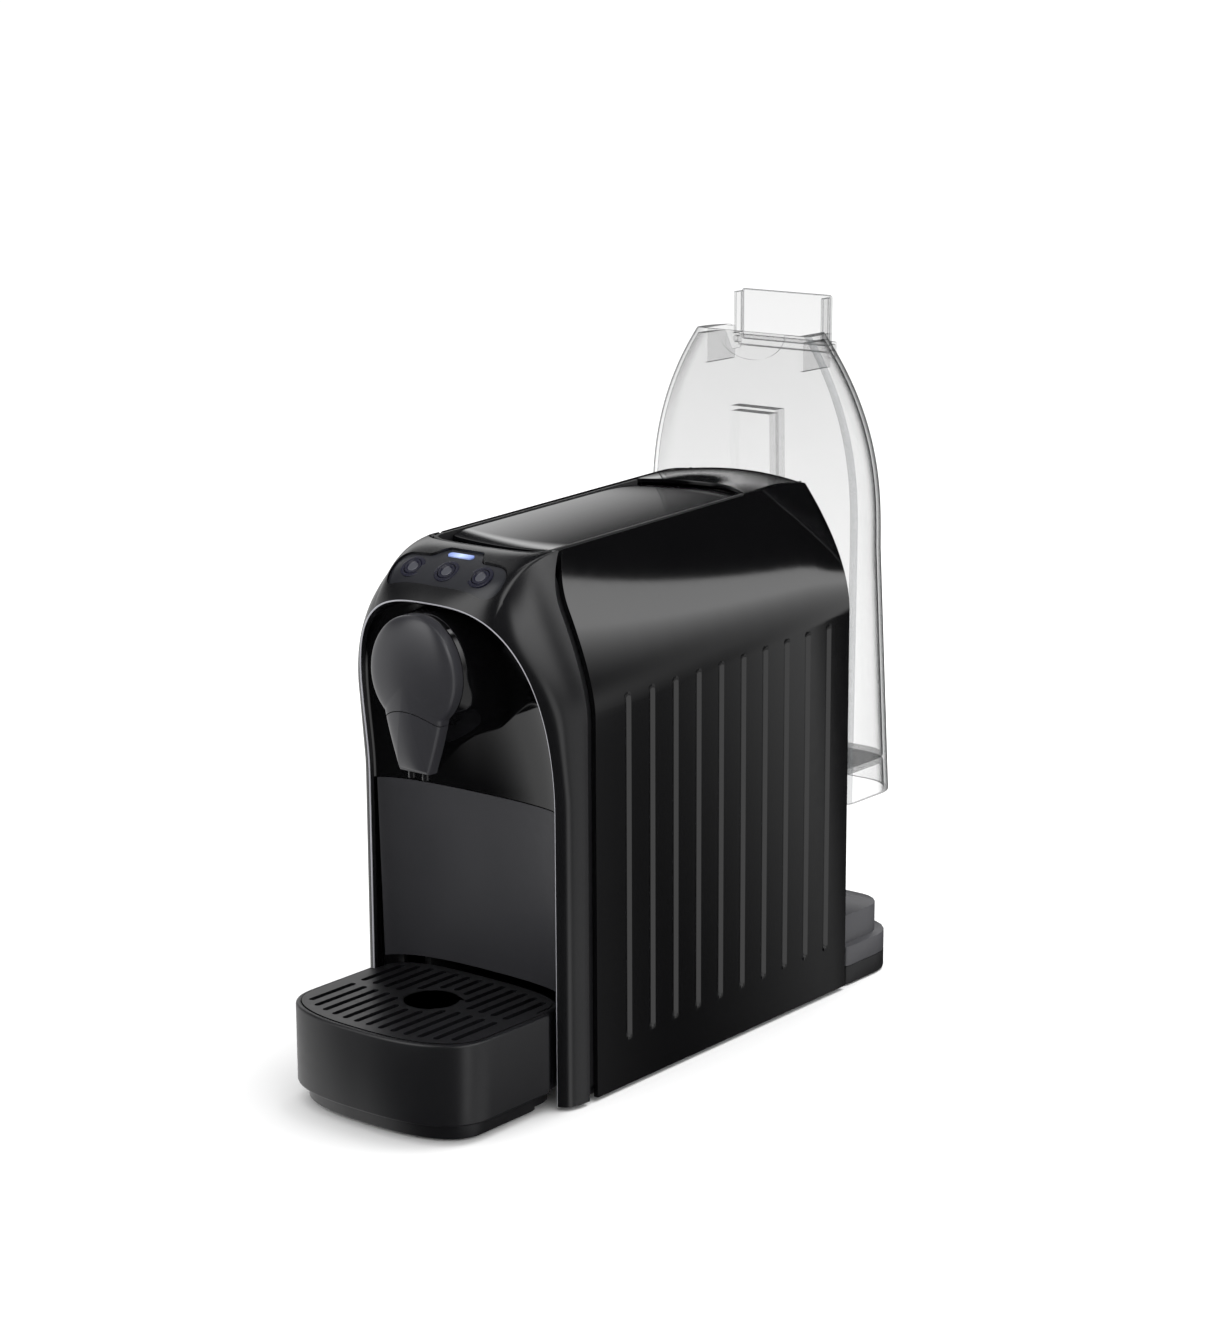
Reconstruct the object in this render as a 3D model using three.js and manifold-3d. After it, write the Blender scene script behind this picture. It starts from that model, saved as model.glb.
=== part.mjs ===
// Pod coffee machine in millimetres, +Z up. The front looks along -Y and +X is the side with the photographed ribs.
// While it is modelled, y = 0 is the front edge of the side panels. At the end the group moves so that the
// origin is under the middle of the whole machine, on the surface that it stands on.

import * as THREE from 'three';
import { mergeVertices } from 'three/addons/utils/BufferGeometryUtils.js';
import Module from 'manifold-3d';

// Body: side panels, shoulders and crests
const bodyWidth = 130;
const bodyDepth = 203;
const crestHalf = 36.8;
const crestHeightFront = 258.6;
const crestHeightRear = 266;
const shoulderFront = 184;
const shoulderRear = 200;
const bendFront = 208;
const bendRear = 228;
const panelFoot = 2;
const panelWall = 2.5;
const fit = 0.4;
const overrun = 1;

// Upright grooves in the side panels
const grooveCount = 10;
const grooveFirst = 23.7;
const groovePitch = 17.9;
const grooveWide = 4.6;
const grooveNarrow = 2;
const grooveDepth = 1.3;
const grooveLow = 24.4;
const grooveHigh = 192.8;
const grooveRise = 0.4;

// Dark channel between the front frame and the side panels
const channelWidth = 6;
const channelWidthTop = 2.5;
const channelDepth = 3;
const crestSetback = 11;
const sweepFoot = 234;

// Front frame with its arched lip
const frameWall = 2.6;
const lipHalf = 57.3;
const lipReach = 21;
const lipLean = 20;
const leanFoot = 145;
const archFoot = 150;
const archTop = 237;
const archPower = 3;
const leanPower = 1.6;
const topEdgeReach = 7;
const topEdgePower = 3.5;

// Niche behind the lip, and the seam between the glossy panel and the container's front
const nicheDepthLow = 21.5;
const nicheDepthHigh = 13.5;
const nichePower = 2.7;
const nicheWall = 2.4;
const nicheTuck = 1;
const nicheLedge = 2.4;
const nicheLedgeHalf = 48;
const seamHeight = 141;
const nicheFoot = 50;

// Control panel, light bar and buttons
const padHalf = 34;
const padLow = -35.5;
const padHigh = -20;
const padRound = 7.4;
const bumpHalf = 13;
const bumpHigh = -12.5;
const padSink = 1;
const padWall = 2.2;
const lightBarLength = 15;
const lightBarWidth = 3;
const lightBarPlace = -17.2;
const lightProud = 0.4;
const buttonRadius = 4.4;
const buttonPlace = -28.2;
const buttonPitch = 20.6;
const buttonCap = 2.4;
const buttonStem = 1.8;
const buttonStemLength = 5;
const buttonProud = 0.3;

// Brew head: hood, cap and spout
const headHeight = 206;
const capHalf = 25.5;
const capRise = 27.5;
const capReach = 58.2;
const capRim = 51;
const hoodFront = 45.7;
const hoodBase = 10;
const hoodRear = 4.4;
const hoodHalf = 29;
const hoodRise = 32;
const hoodCentre = 204;
const hoodPower = 2.6;
const hoodBlend = 0.7;
const hoodBend = 0.45;
const hoodWall = 2.4;
const seamArcTop = 189.5;
const seamArcRadius = 25.4;
const nozzleLow = 160;
const nozzleHalf = 8.5;
const neckTurn = 0.3;
const neckHalf = 9.5;
const neckHeight = 179;
const capCrown = 0.12;
const capCentre = 203;
const capShell = 2.6;
const outletRadius = 1.8;
const outletBore = 1;
const outletSpread = 4.2;
const outletPlace = 48.6;
const outletLow = 156.5;
const spoutSeam = 0.4;
const spoutRear = 46;
const ductRadius = 4;
const ductBore = 2.6;
const ductHeight = 180;

// Bulkhead between the front and the works
const bulkheadFront = 9;
const bulkheadRear = 3;
const bulkheadWeb = 2.4;
const bulkheadWebFront = 4;
const bulkheadFlange = 2.4;
const containerGateHalf = 53;
const brewGateHalf = 20;
const brewGateLow = 176;
const brewGateHigh = 226;

// Top deck, lever, pin and rear cap
const deckWall = 1.6;
const deckFloor = 245;
const deckPlate = 2;
const deckCrestGap = 0.3;
const deckHalf = 34.2;
const deckFront = 5.2;
const deckWallRear = 199;
const deckWallTop = 256;
const deckWallDrop = 154.5;
const deckRear = 148;
const leverFront = 13;
const leverWall = 2.4;
const leverDropFront = 0.8;
const leverDropRear = 3.6;
const leverDish = 1.4;
const leverSkirt = 8;
const leverSkirtWall = 2;
const leverTuck = 3;
const leverStart = 24;
const leverHalf = 32.1;
const leverNose = 1.2;
const leverNoseShare = 0.35;
const pinPlace = 148;
const pinHeight = 254;
const pinRadius = 2.2;
const pinHalf = 35.2;
const hubRadius = 5;
const hubLength = 6;
const slotHalf = 19.5;
const slotFront = 16;
const slotRear = 52;
const chuteDepth = 15;
const chuteWall = 1.6;
const capFrontMiddle = 172;
const capArc = 15;
const capDome = 1.6;
const capSkin = 2.2;
const capWallLow = 250.3;

// Back panel
const backInset = 2.9;
const backSink = 0.5;
const backWall = 3;

// Works: brew plate, guide, piston, boiler, pump, meter and board
const brewPlateThick = 7;
const brewPlateHalf = 24;
const brewPlateLow = 172;
const brewPlateHigh = 230;
const needleRadius = 1.1;
const needleLength = 5;
const needleCount = 3;
const needleRing = 8;
const chamberRadius = 17;
const pistonLength = 26;
const pistonFront = 28;
const pistonRod = 6;
const pistonOver = 10;
const guideRail = 5;
const guideHalf = 26;
const guideLength = 92;
const guideHeight = 10;
const guideBar = 6;
const boilerWidth = 66;
const boilerDepth = 46;
const boilerHeight = 58;
const boilerPlace = 172;
const boilerLow = 122;
const pumpRadius = 17;
const pumpLength = 62;
const pumpPlace = 124;
const pumpHeight = 44;
const pumpNose = 5;
const pumpNoseLength = 10;
const mountWall = 5;
const mountPlace = 24;
const mountHalf = 19;
const meterRadius = 12;
const meterHeight = 12;
const meterPlaceX = 0;
const meterPlaceY = 178;
const boardLength = 74;
const boardHeight = 60;
const boardThick = 1.6;
const boardPlace = 52;
const boardFront = 106;
const boardLow = 66;
const boardMargin = 6;
const pillarRadius = 2.5;
const hoseRadius = 3;
const hoseBore = 1.8;
const hoseBend = 10;

// Base plate, feet and container shelf
const baseLow = 3;
const baseThick = 4;
const baseHalf = 61;
const footRadius = 8;
const footPlaceX = 46;
const footPlaceFront = 22;
const footPlaceRear = 232;
const tongueHalf = 14;
const tongueReach = 58;
const tongueThick = 3;
const shelfPlace = 44;
const shelfWall = 4;
const shelfLength = 92;
const shelfTie = 52;
const standPlace = 24;
const standWall = 4;
const earInner = 54;
const plinthLow = 1;
const glandRadius = 3.8;
const glandBore = 2.4;
const glandLength = 6;
const glandPlace = 222;
const glandHeight = 5.5;
const glandDuct = 14;

// Capsule container
const containerHalf = 48;
const containerWall = 2.2;
const containerTop = 128;
const containerLength = 92;
const containerFront = 4;

// Drip tray and grid
const trayHalf = 56;
const trayFront = 95;
const trayShoulder = 64;
const trayPower = 2.6;
const trayTop = 48;
const trayLow = 1;
const trayStep = 9;
const trayInset = 5;
const trayFloor = 9;
const trayWall = 2.4;
const trayStop = 24.5;
const trayRearHalf = 53.2;
const trayRearPower = 3;
const trayRearDepth = 21;
const trayRearStart = 22.5;
const gridThick = 3;
const gridHole = 12;
const gridHolePlace = -43;
const gridColumns = 13;
const gridPitch = 7.4;
const gridSlot = 3.2;
const gridBridge = 4;
const gridBridgePlace = -48;
const gridRim = 5;
const gridRimRear = 3.5;
const gridRing = 16.5;
const gridChamfer = 1.2;
const gridLedge = 3;

// Water tank, lid, dock and valve
const tankFront = 206;
const tankWall = 2.2;
const tankFrontRound = 4;
const tankRearRound = 22;
const tankLow = 98;
const tankLevels = 9;
const tankHalfLow = 64.3;
const tankHalfWaist = 65.4;
const tankRearLow = 257;
const tankRearWaist = 245;
const tankWaist = 228;
const tankBend = 240;
const tankTaper = 0.45;
const tankTaperPower = 2.4;
const tankRearLean = 10;
const tankRearPower = 1.7;
const tankTop = 336;
const tankSkirt = 15.6;
const tankFloor = 3;
const tankMouthHalf = 29;
const tankMouthRear = 232;
const tankScoopHalf = 21;
const tankScoopDepth = 14;
const tankScoopSink = 0.9;
const tankMouthLow = 318;
const tankRoof = 3;
const earReach = 5;
const earGap = 0.8;
const earWall = 2.5;
const railHalf = 11.4;
const railDepth = 11.2;
const railLow = 36.5;
const railHigh = 211;
const railChannelHalfTop = 12;
const railChannelHalfLow = 15.6;
const railChannelTop = 295;
const railChannelDepth = 8;
const lidAxisY = 235.2;
const lidAxisZ = 327.6;
const lidHalf = 28.2;
const lidLength = 26.2;
const lidThick = 2;
const lidRise = 0.8;
const lidSkirtWall = 1.6;
const lidSkirt = 6.5;
const lidPin = 1.6;
const lidKnuckle = 2.8;
const dockInset = 1.1;
const dockLow = 10.8;
const dockLedge = 21;
const dockTop = 36;
const dockBlockInset = 6;
const valvePlace = 232;
const valveBore = 6;
const valveStem = 2.2;
const valveHead = 8;
const valveHeadThick = 2.5;
const valveLow = 107.6;
const sealWall = 2.5;
const socketRadius = 9;
const socketDepth = 6;
const portHeight = 14.5;

const halfWidth = bodyWidth / 2;
const weldRoom = 0.02;
const clear = 0.3;

// Finishes
const glossBlack = new THREE.MeshStandardMaterial({ color: 0x0b0b0c, roughness: 0.12, metalness: 0 });
const satinBlack = new THREE.MeshStandardMaterial({ color: 0x111112, roughness: 0.3, metalness: 0 });
const mattBlack = new THREE.MeshStandardMaterial({ color: 0x1b1b1d, roughness: 0.6, metalness: 0 });
const trayGrey = new THREE.MeshStandardMaterial({ color: 0x232427, roughness: 0.55, metalness: 0 });
const clearPlastic = new THREE.MeshStandardMaterial({ color: 0xe9eef0, roughness: 0.05, transparent: true, opacity: 0.35 });
const whiteLight = new THREE.MeshStandardMaterial({ color: 0xdfe8ff, roughness: 0.4, emissive: 0xb9c8ff });
const rubber = new THREE.MeshStandardMaterial({ color: 0x161616, roughness: 0.85 });
const steel = new THREE.MeshStandardMaterial({ color: 0xb8babd, roughness: 0.3, metalness: 1 });
const castAluminium = new THREE.MeshStandardMaterial({ color: 0xa2a5a8, roughness: 0.45, metalness: 1 });
const boardGreen = new THREE.MeshStandardMaterial({ color: 0x1f5a35, roughness: 0.5 });
const hoseClear = new THREE.MeshStandardMaterial({ color: 0xd9d9d4, roughness: 0.5 });

// Solids and booleans
const wasm = await Module();
wasm.setup();

function solid(geometry) {
  const bare = geometry.clone();
  bare.deleteAttribute('normal');
  bare.deleteAttribute('uv');
  const merged = mergeVertices(bare);
  return new wasm.Manifold(new wasm.Mesh({
    numProp: 3,
    vertProperties: new Float32Array(merged.attributes.position.array),
    triVerts: new Uint32Array(merged.index.array),
  }));
}

function geometryOf(body) {
  const mesh = body.getMesh();
  const geometry = new THREE.BufferGeometry();
  geometry.setAttribute('position', new THREE.BufferAttribute(mesh.vertProperties, mesh.numProp));
  geometry.setIndex(new THREE.BufferAttribute(mesh.triVerts, 1));
  geometry.computeVertexNormals();
  return geometry;
}

function joinAll(bodies) {
  return bodies.reduce((whole, body) => whole.add(body));
}

function cutAll(body, cutters) {
  return cutters.reduce((rest, cutter) => rest.subtract(cutter), body);
}

// A closed body from triangles between numbered points, turned right side out
function closedBody(points, triangles) {
  let volume = 0;
  const cross = new THREE.Vector3();
  for (const [a, b, c] of triangles) {
    volume += points[a].dot(cross.crossVectors(points[b], points[c]));
  }
  const turned = volume < 0 ? triangles.map(([a, b, c]) => [a, c, b]) : triangles;
  const geometry = new THREE.BufferGeometry();
  geometry.setAttribute('position', new THREE.Float32BufferAttribute(points.flatMap((p) => [p.x, p.y, p.z]), 3));
  geometry.setIndex(turned.flat());
  return solid(geometry);
}

// The flat end of a loft, with its faces turned the same way as the ring or against it
function capFaces(ring, flatten, sameWay) {
  const flat = ring.map(flatten);
  const ringTurn = Math.sign(THREE.ShapeUtils.area(flat));
  return THREE.ShapeUtils.triangulateShape(flat, []).map(([a, b, c]) => {
    const turn = Math.sign(THREE.ShapeUtils.area([flat[a], flat[b], flat[c]]));
    return (turn === ringTurn) === sameWay ? [a, b, c] : [a, c, b];
  });
}

// A loft through closed rings with equal numbers of points, with flat ends seen along one axis
function loft(rings, axis) {
  const flatten = {
    x: (p) => new THREE.Vector2(p.y, p.z),
    y: (p) => new THREE.Vector2(p.x, p.z),
    z: (p) => new THREE.Vector2(p.x, p.y),
  }[axis];
  const count = rings[0].length;
  const triangles = capFaces(rings[0], flatten, false);
  for (let i = 0; i + 1 < rings.length; i += 1) {
    for (let k = 0; k < count; k += 1) {
      const next = (k + 1) % count;
      const low = i * count;
      const high = low + count;
      triangles.push([low + k, low + next, high + next], [low + k, high + next, high + k]);
    }
  }
  const last = (rings.length - 1) * count;
  capFaces(rings.at(-1), flatten, true).forEach(([a, b, c]) => triangles.push([a + last, b + last, c + last]));
  return closedBody(rings.flat(), triangles);
}

// A closed shell between two grids of points that match row by row
function shell(outer, inner) {
  const rows = outer.length;
  const columns = outer[0].length;
  const at = (i, j) => i * columns + j;
  const under = (i, j) => rows * columns + at(i, j);
  const triangles = [];
  const quad = (a, b, c, d) => triangles.push([a, b, c], [a, c, d]);
  for (let i = 0; i + 1 < rows; i += 1) {
    for (let j = 0; j + 1 < columns; j += 1) {
      quad(at(i, j), at(i + 1, j), at(i + 1, j + 1), at(i, j + 1));
      quad(under(i, j), under(i, j + 1), under(i + 1, j + 1), under(i + 1, j));
    }
  }
  for (let i = 0; i + 1 < rows; i += 1) {
    quad(at(i, 0), under(i, 0), under(i + 1, 0), at(i + 1, 0));
    quad(at(i, columns - 1), at(i + 1, columns - 1), under(i + 1, columns - 1), under(i, columns - 1));
  }
  for (let j = 0; j + 1 < columns; j += 1) {
    quad(at(0, j), at(0, j + 1), under(0, j + 1), under(0, j));
    quad(at(rows - 1, j), under(rows - 1, j), under(rows - 1, j + 1), at(rows - 1, j + 1));
  }
  return closedBody(outer.flat().concat(inner.flat()), triangles);
}

// A grid of points moved along its own normals. sign gives the side that counts as inwards
function inset(grid, distance, sign) {
  const last = (list, k) => Math.min(k, list.length - 1);
  return grid.map((row, i) => row.map((point, j) => {
    const alongRow = row[last(row, j + 1)].clone().sub(row[Math.max(j - 1, 0)]);
    const acrossRow = grid[last(grid, i + 1)][j].clone().sub(grid[Math.max(i - 1, 0)][j]);
    const normal = alongRow.cross(acrossRow).normalize();
    return point.clone().addScaledVector(normal, sign * distance);
  }));
}

// A prism of a closed outline. Along z the outline is (x, y), along y it is (x, z), along x it is (y, z)
function prism(outline, from, to, axis) {
  const place = {
    x: ([a, b], t) => new THREE.Vector3(t, a, b),
    y: ([a, b], t) => new THREE.Vector3(a, t, b),
    z: ([a, b], t) => new THREE.Vector3(a, b, t),
  }[axis];
  return loft([outline.map((p) => place(p, from)), outline.map((p) => place(p, to))], axis);
}

function block(x0, x1, y0, y1, z0, z1) {
  return prism([[x0, y0], [x1, y0], [x1, y1], [x0, y1]], z0, z1, 'z');
}

function circle(radius, a, b, count) {
  return Array.from({ length: count }, (_, k) => {
    const angle = (2 * Math.PI * k) / count;
    return [a + radius * Math.cos(angle), b + radius * Math.sin(angle)];
  });
}

function rod(radius, a, b, from, to, axis, count = 16) {
  return prism(circle(radius, a, b, count), from, to, axis);
}

// A rectangle with rounded corners, steps points to a corner
function roundedBox(a0, a1, b0, b1, radius, steps = 4) {
  const corners = [[a1 - radius, b1 - radius, 0], [a0 + radius, b1 - radius, 1],
    [a0 + radius, b0 + radius, 2], [a1 - radius, b0 + radius, 3]];
  return corners.flatMap(([a, b, quarter]) => Array.from({ length: steps + 1 }, (_, k) => {
    const angle = (Math.PI / 2) * (quarter + k / steps);
    return [a + radius * Math.cos(angle), b + radius * Math.sin(angle)];
  }));
}

// A point on a superellipse with half axes a and b
function superPoint(angle, a, b, power) {
  const c = Math.cos(angle);
  const s = Math.sin(angle);
  return [a * Math.sign(c) * Math.abs(c) ** (2 / power), b * Math.sign(s) * Math.abs(s) ** (2 / power)];
}

const steps = (count) => Array.from({ length: count + 1 }, (_, k) => k / count);
const mix = THREE.MathUtils.lerp;
const sides = [-1, 1];

// The stretch between two distances from the middle, on one side
const span = (side, from, to) => (side > 0 ? [from, to] : [-to, -from]);
const mirrored = (points) => points.concat(points.map(([a, b]) => [-a, b]).reverse());

// Section of the body across the machine
const crestAt = (y) => mix(crestHeightFront, crestHeightRear, y / bodyDepth);

function shoulderAt(y) {
  const share = y / bodyDepth;
  return new THREE.QuadraticBezierCurve(
    new THREE.Vector2(halfWidth, mix(shoulderFront, shoulderRear, share)),
    new THREE.Vector2(halfWidth, mix(bendFront, bendRear, share)),
    new THREE.Vector2(crestHalf, crestAt(y)),
  );
}

// Right half of the section from foot to crest, moved inwards
function sectionHalf(y, distance, foot, count) {
  const curve = shoulderAt(y);
  const arch = steps(count).map((t) => {
    const point = curve.getPoint(t);
    const tangent = curve.getTangent(t);
    return [point.x - tangent.y * distance, point.y + tangent.x * distance];
  });
  return [[halfWidth - distance, foot]].concat(arch);
}

const bodyOutline = (y, distance, foot, count = 8) => mirrored(sectionHalf(y, distance, foot, count));

// Side panels with upright grooves
const sweepShare = (z, y) => Math.max(0, (z - sweepFoot) / (crestAt(y) - sweepFoot));

function panelGrid(distance, side) {
  const rows = sectionHalf(0, 0, panelFoot, 8).length;
  return Array.from({ length: rows }, (_, j) => {
    const [, z] = sectionHalf(0, 0, panelFoot, 8)[j];
    const start = crestSetback * sweepShare(z, 0) ** 2;
    return steps(2).map((share) => {
      const y = mix(start, bodyDepth, share);
      const [x, height] = sectionHalf(y, distance, panelFoot, 8)[j];
      return new THREE.Vector3(side * x, y, height);
    });
  });
}

function grooveCutter(index, side) {
  const y = grooveFirst + groovePitch * index;
  const low = grooveLow + (grooveRise / 2) * index;
  const high = grooveHigh + grooveRise * index;
  const ring = (width, x) => roundedBox(y - width / 2, y + width / 2, low + (grooveWide - width) / 2,
    high - (grooveWide - width) / 2, width / 2 - weldRoom, 2).map(([a, b]) => new THREE.Vector3(side * x, a, b));
  return loft([ring(grooveNarrow, halfWidth - grooveDepth), ring(grooveWide, halfWidth + weldRoom),
    ring(grooveWide, halfWidth + overrun)], 'x');
}

function sidePanel(side) {
  const plain = shell(panelGrid(0, side), panelGrid(panelWall, side));
  return cutAll(plain, Array.from({ length: grooveCount }, (_, k) => grooveCutter(k, side)));
}

// Front frame: a shell from the channel's edge round to the arched lip
const cornerShare = 2 / 3;
const wallShare = 0.2;

function lipPoint(share) {
  const [x, rise] = superPoint((share * Math.PI) / 2, lipHalf, archTop - archFoot, archPower);
  return lipAt(x, archFoot + rise);
}

function lipAt(x, z) {
  const lean = Math.max(0, (z - leanFoot) / (archTop - leanFoot)) ** leanPower;
  return new THREE.Vector3(x, -lipReach - lipLean * lean, z);
}

function frameEdge(share) {
  if (share > cornerShare) {
    const angle = ((share - cornerShare) / (1 - cornerShare)) * (Math.PI / 2);
    const corner = crestSetback - channelWidthTop;
    const [x, reach] = superPoint(angle, crestHalf, corner + topEdgeReach, topEdgePower);
    return new THREE.Vector3(x, corner - reach, crestAt(0));
  }
  const along = share / cornerShare;
  const curve = shoulderAt(0);
  const foot = curve.getPoint(0).y;
  const point = along < wallShare
    ? new THREE.Vector2(halfWidth, mix(archFoot, foot, along / wallShare))
    : curve.getPoint((along - wallShare) / (1 - wallShare));
  const sweep = sweepShare(point.y, 0) ** 2;
  return new THREE.Vector3(point.x, mix(-channelWidth, crestSetback - channelWidthTop, sweep), point.y);
}

function frameStations() {
  const arch = steps(15).map((share) => [frameEdge(share), lipPoint(share), share]);
  const foot = [new THREE.Vector3(halfWidth, -channelWidth, panelFoot), lipAt(lipHalf, panelFoot), 0];
  const right = [foot].concat(arch);
  const flip = (p) => new THREE.Vector3(-p.x, p.y, p.z);
  const left = right.slice(0, -1).reverse().map(([edge, lip, share]) => [flip(edge), flip(lip), share]);
  return right.concat(left);
}

const frameFullShare = 0.94;
const frameCrownShare = 0.66;
const frameSlopeShare = 0.12;

const frameGrid = frameStations().map(([edge, lip, share]) => {
  const forward = mix(frameFullShare, frameCrownShare, share);
  const bend = new THREE.Vector3(mix(edge.x, lip.x, frameSlopeShare * share), mix(edge.y, lip.y, forward),
    mix(edge.z, lip.z, frameSlopeShare));
  const curve = new THREE.QuadraticBezierCurve3(edge, bend, lip);
  return steps(5).map((t) => curve.getPoint(t));
});

const frameShell = (from, to) => shell(inset(frameGrid, from, 1), inset(frameGrid, to, 1));

// Outline of the control panel in plan, with a bump over the light bar
function padOutline(distance) {
  const low = padLow + distance;
  const high = padHigh - distance;
  const half = padHalf - distance;
  const bump = bumpHalf - distance;
  const round = padRound - distance;
  const lower = roundedBox(-half, half, low, high, round, 4);
  const rightTop = lower.slice(0, 5);
  const leftTop = lower.slice(5, 10);
  const rest = lower.slice(10);
  const top = bumpHigh - distance;
  return rightTop.concat([[bump + round / 2, high], [bump, mix(high, top, 1 / 2)], [bump - round / 2, top],
    [-bump + round / 2, top], [-bump, mix(high, top, 1 / 2)], [-bump - round / 2, high]], leftTop, rest);
}

// Surface of the front frame seen from above
function gridMesh(grid) {
  const columns = grid[0].length;
  const index = [];
  for (let i = 0; i + 1 < grid.length; i += 1) {
    for (let j = 0; j + 1 < columns; j += 1) {
      const a = i * columns + j;
      index.push(a, a + 1, a + columns + 1, a, a + columns + 1, a + columns);
    }
  }
  const geometry = new THREE.BufferGeometry().setFromPoints(grid.flat());
  geometry.setIndex(index);
  return new THREE.Mesh(geometry, new THREE.MeshBasicMaterial({ side: THREE.DoubleSide }));
}

const frameSurface = gridMesh(frameGrid);

function frameHeight(x, y) {
  const ray = new THREE.Raycaster(new THREE.Vector3(x, y, tankTop), new THREE.Vector3(0, 0, -1));
  return ray.intersectObject(frameSurface)[0].point.z;
}

const padSlope = Math.atan2(
  frameHeight(0, buttonPlace + buttonRadius) - frameHeight(0, buttonPlace - buttonRadius),
  2 * buttonRadius,
);

// A round rod that stands square to the control panel at a button's place
function slopeRod(radius, x, from, to) {
  const tilt = new THREE.Matrix4().makeRotationX(padSlope);
  const foot = new THREE.Vector3(x, buttonPlace, frameHeight(x, buttonPlace));
  const ring = (t) => circle(radius, 0, 0, 20).map(([a, b]) => new THREE.Vector3(a, b, t).applyMatrix4(tilt).add(foot));
  return loft([ring(from), ring(to)], 'z');
}

// Concave front surface behind the lip, shared by the niche panel and the capsule container
const lipHalfAt = (z) => (z > archFoot
  ? lipHalf * Math.max(0, 1 - ((z - archFoot) / (archTop - archFoot)) ** archPower) ** (1 / archPower)
  : lipHalf);

function nicheSurface(low, high, across, rows, half = () => 1) {
  return Array.from({ length: rows + 1 }, (_, i) => {
    const z = mix(low, high, Math.sin((i / rows) * (Math.PI / 2)));
    const reach = lipHalfAt(Math.min(z, archTop)) + nicheTuck;
    const depth = mix(nicheDepthLow, nicheDepthHigh, Math.min(1, (z - nicheFoot) / (seamHeight - nicheFoot)));
    const front = lipAt(0, z).y;
    return Array.from({ length: across + 1 }, (__, k) => {
      const share = -Math.cos((k / across) * Math.PI) * half(reach);
      const deep = depth * Math.max(0, 1 - Math.abs(share) ** nichePower) ** (1 / nichePower);
      return new THREE.Vector3(share * reach, front + deep, z);
    });
  });
}

const pushedBack = (grid, distance) => grid.map((row) => row.map((p) => new THREE.Vector3(p.x, p.y + distance, p.z)));
const flattened = (grid, y) => grid.map((row) => row.map((p) => new THREE.Vector3(p.x, y, p.z)));

// Outline of the brew head seen from the front: a round head that narrows to the nozzle
function dropOutline(grow) {
  const half = capHalf + grow;
  const rise = capRise + grow;
  const start = -Math.PI * neckTurn;
  const turn = Math.PI * (1 + 2 * neckTurn);
  const round = steps(20).map((share) => {
    const angle = start + turn * share;
    return [half * Math.cos(angle), headHeight + (Math.sin(angle) < 0 ? half : rise) * Math.sin(angle)];
  });
  const neck = new THREE.QuadraticBezierCurve(
    new THREE.Vector2(...round.at(-1)),
    new THREE.Vector2(-neckHalf - grow, neckHeight),
    new THREE.Vector2(-nozzleHalf - grow, nozzleLow - grow),
  );
  const left = neck.getPoints(4).slice(1).map((p) => [p.x, p.y]);
  return round.concat(left, left.map(([a, b]) => [-a, b]).reverse());
}

const outlineAt = (outline, y) => outline.map(([a, b]) => new THREE.Vector3(a, y, b));

// Disc and spout together: straight rim, then a dome
function headDisc(distance, rear) {
  const outline = dropOutline(-distance);
  const rings = [outlineAt(outline, -rear), outlineAt(outline, -capRim)];
  steps(4).slice(1).forEach((share) => {
    const angle = (share * Math.PI) / 2;
    const size = Math.max(capCrown, Math.cos(angle));
    const y = -capRim - (capReach - capRim - distance) * Math.sin(angle);
    rings.push(outline.map(([a, b]) => new THREE.Vector3(a * size, y, mix(capCentre, b, size))));
  });
  return loft(rings, 'y');
}

function spoutZone(grow, front, rear) {
  return prism(circle(seamArcRadius + grow, 0, seamArcTop - seamArcRadius, 36), front, rear, 'y');
}

// Hood of the brew head, from the disc back through the niche panel
function hoodBody(grow, front, rear) {
  const outline = dropOutline(grow);
  const base = outline.map(([a, b]) => {
    const [x, z] = superPoint(Math.atan2(b - headHeight, a), hoodHalf + grow, hoodRise + grow, hoodPower);
    return [x, z + hoodCentre];
  });
  const blend = outline.map(([a, b], k) => [mix(a, base[k][0], hoodBlend), mix(b, base[k][1], hoodBlend)]);
  return loft([outlineAt(outline, -front), outlineAt(blend, mix(-front, -hoodBase, hoodBend)),
    outlineAt(base, -hoodBase), outlineAt(base, -rear)], 'y');
}

// Plan of the top deck: rounded front, straight sides and rear
function deckPlan(distance, rear) {
  const corner = crestSetback - channelWidthTop;
  const front = steps(14).map((share) => {
    const [a, b] = superPoint(Math.PI * (1 + share), deckHalf - distance, corner + deckFront - distance, topEdgePower);
    return [a, corner + b];
  });
  return front.concat([[deckHalf - distance, rear - distance], [-deckHalf + distance, rear - distance]]);
}

function deckBody(distance, rear, low, drop) {
  const plan = deckPlan(distance, rear);
  return loft([plan.map(([a, b]) => new THREE.Vector3(a, b, low)),
    plan.map(([a, b]) => new THREE.Vector3(a, b, crestAt(b) - drop))], 'z');
}

// Lever plate: dished across, with a rounded nose and an arched rear edge
const capFrontAt = (x) => capFrontMiddle - capArc * (x / leverHalf) ** 2;

function leverSurface(sink) {
  return steps(9).map((i) => Array.from({ length: 9 }, (_, k) => {
    const x = mix(-leverHalf, leverHalf, k / 8);
    const y = mix(leverFront, capFrontAt(x) + leverTuck, i ** 2 * (1 - leverNoseShare) + i * leverNoseShare);
    const drop = mix(leverDropFront, leverDropRear, (y - leverFront) / (capFrontMiddle - leverFront));
    const nose = leverNose * Math.max(0, 1 - (y - leverFront) / (leverStart - leverFront)) ** 2;
    return new THREE.Vector3(x, y, crestAt(y) - drop - nose - leverDish * (1 - (x / leverHalf) ** 2) - sink);
  }));
}

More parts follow.
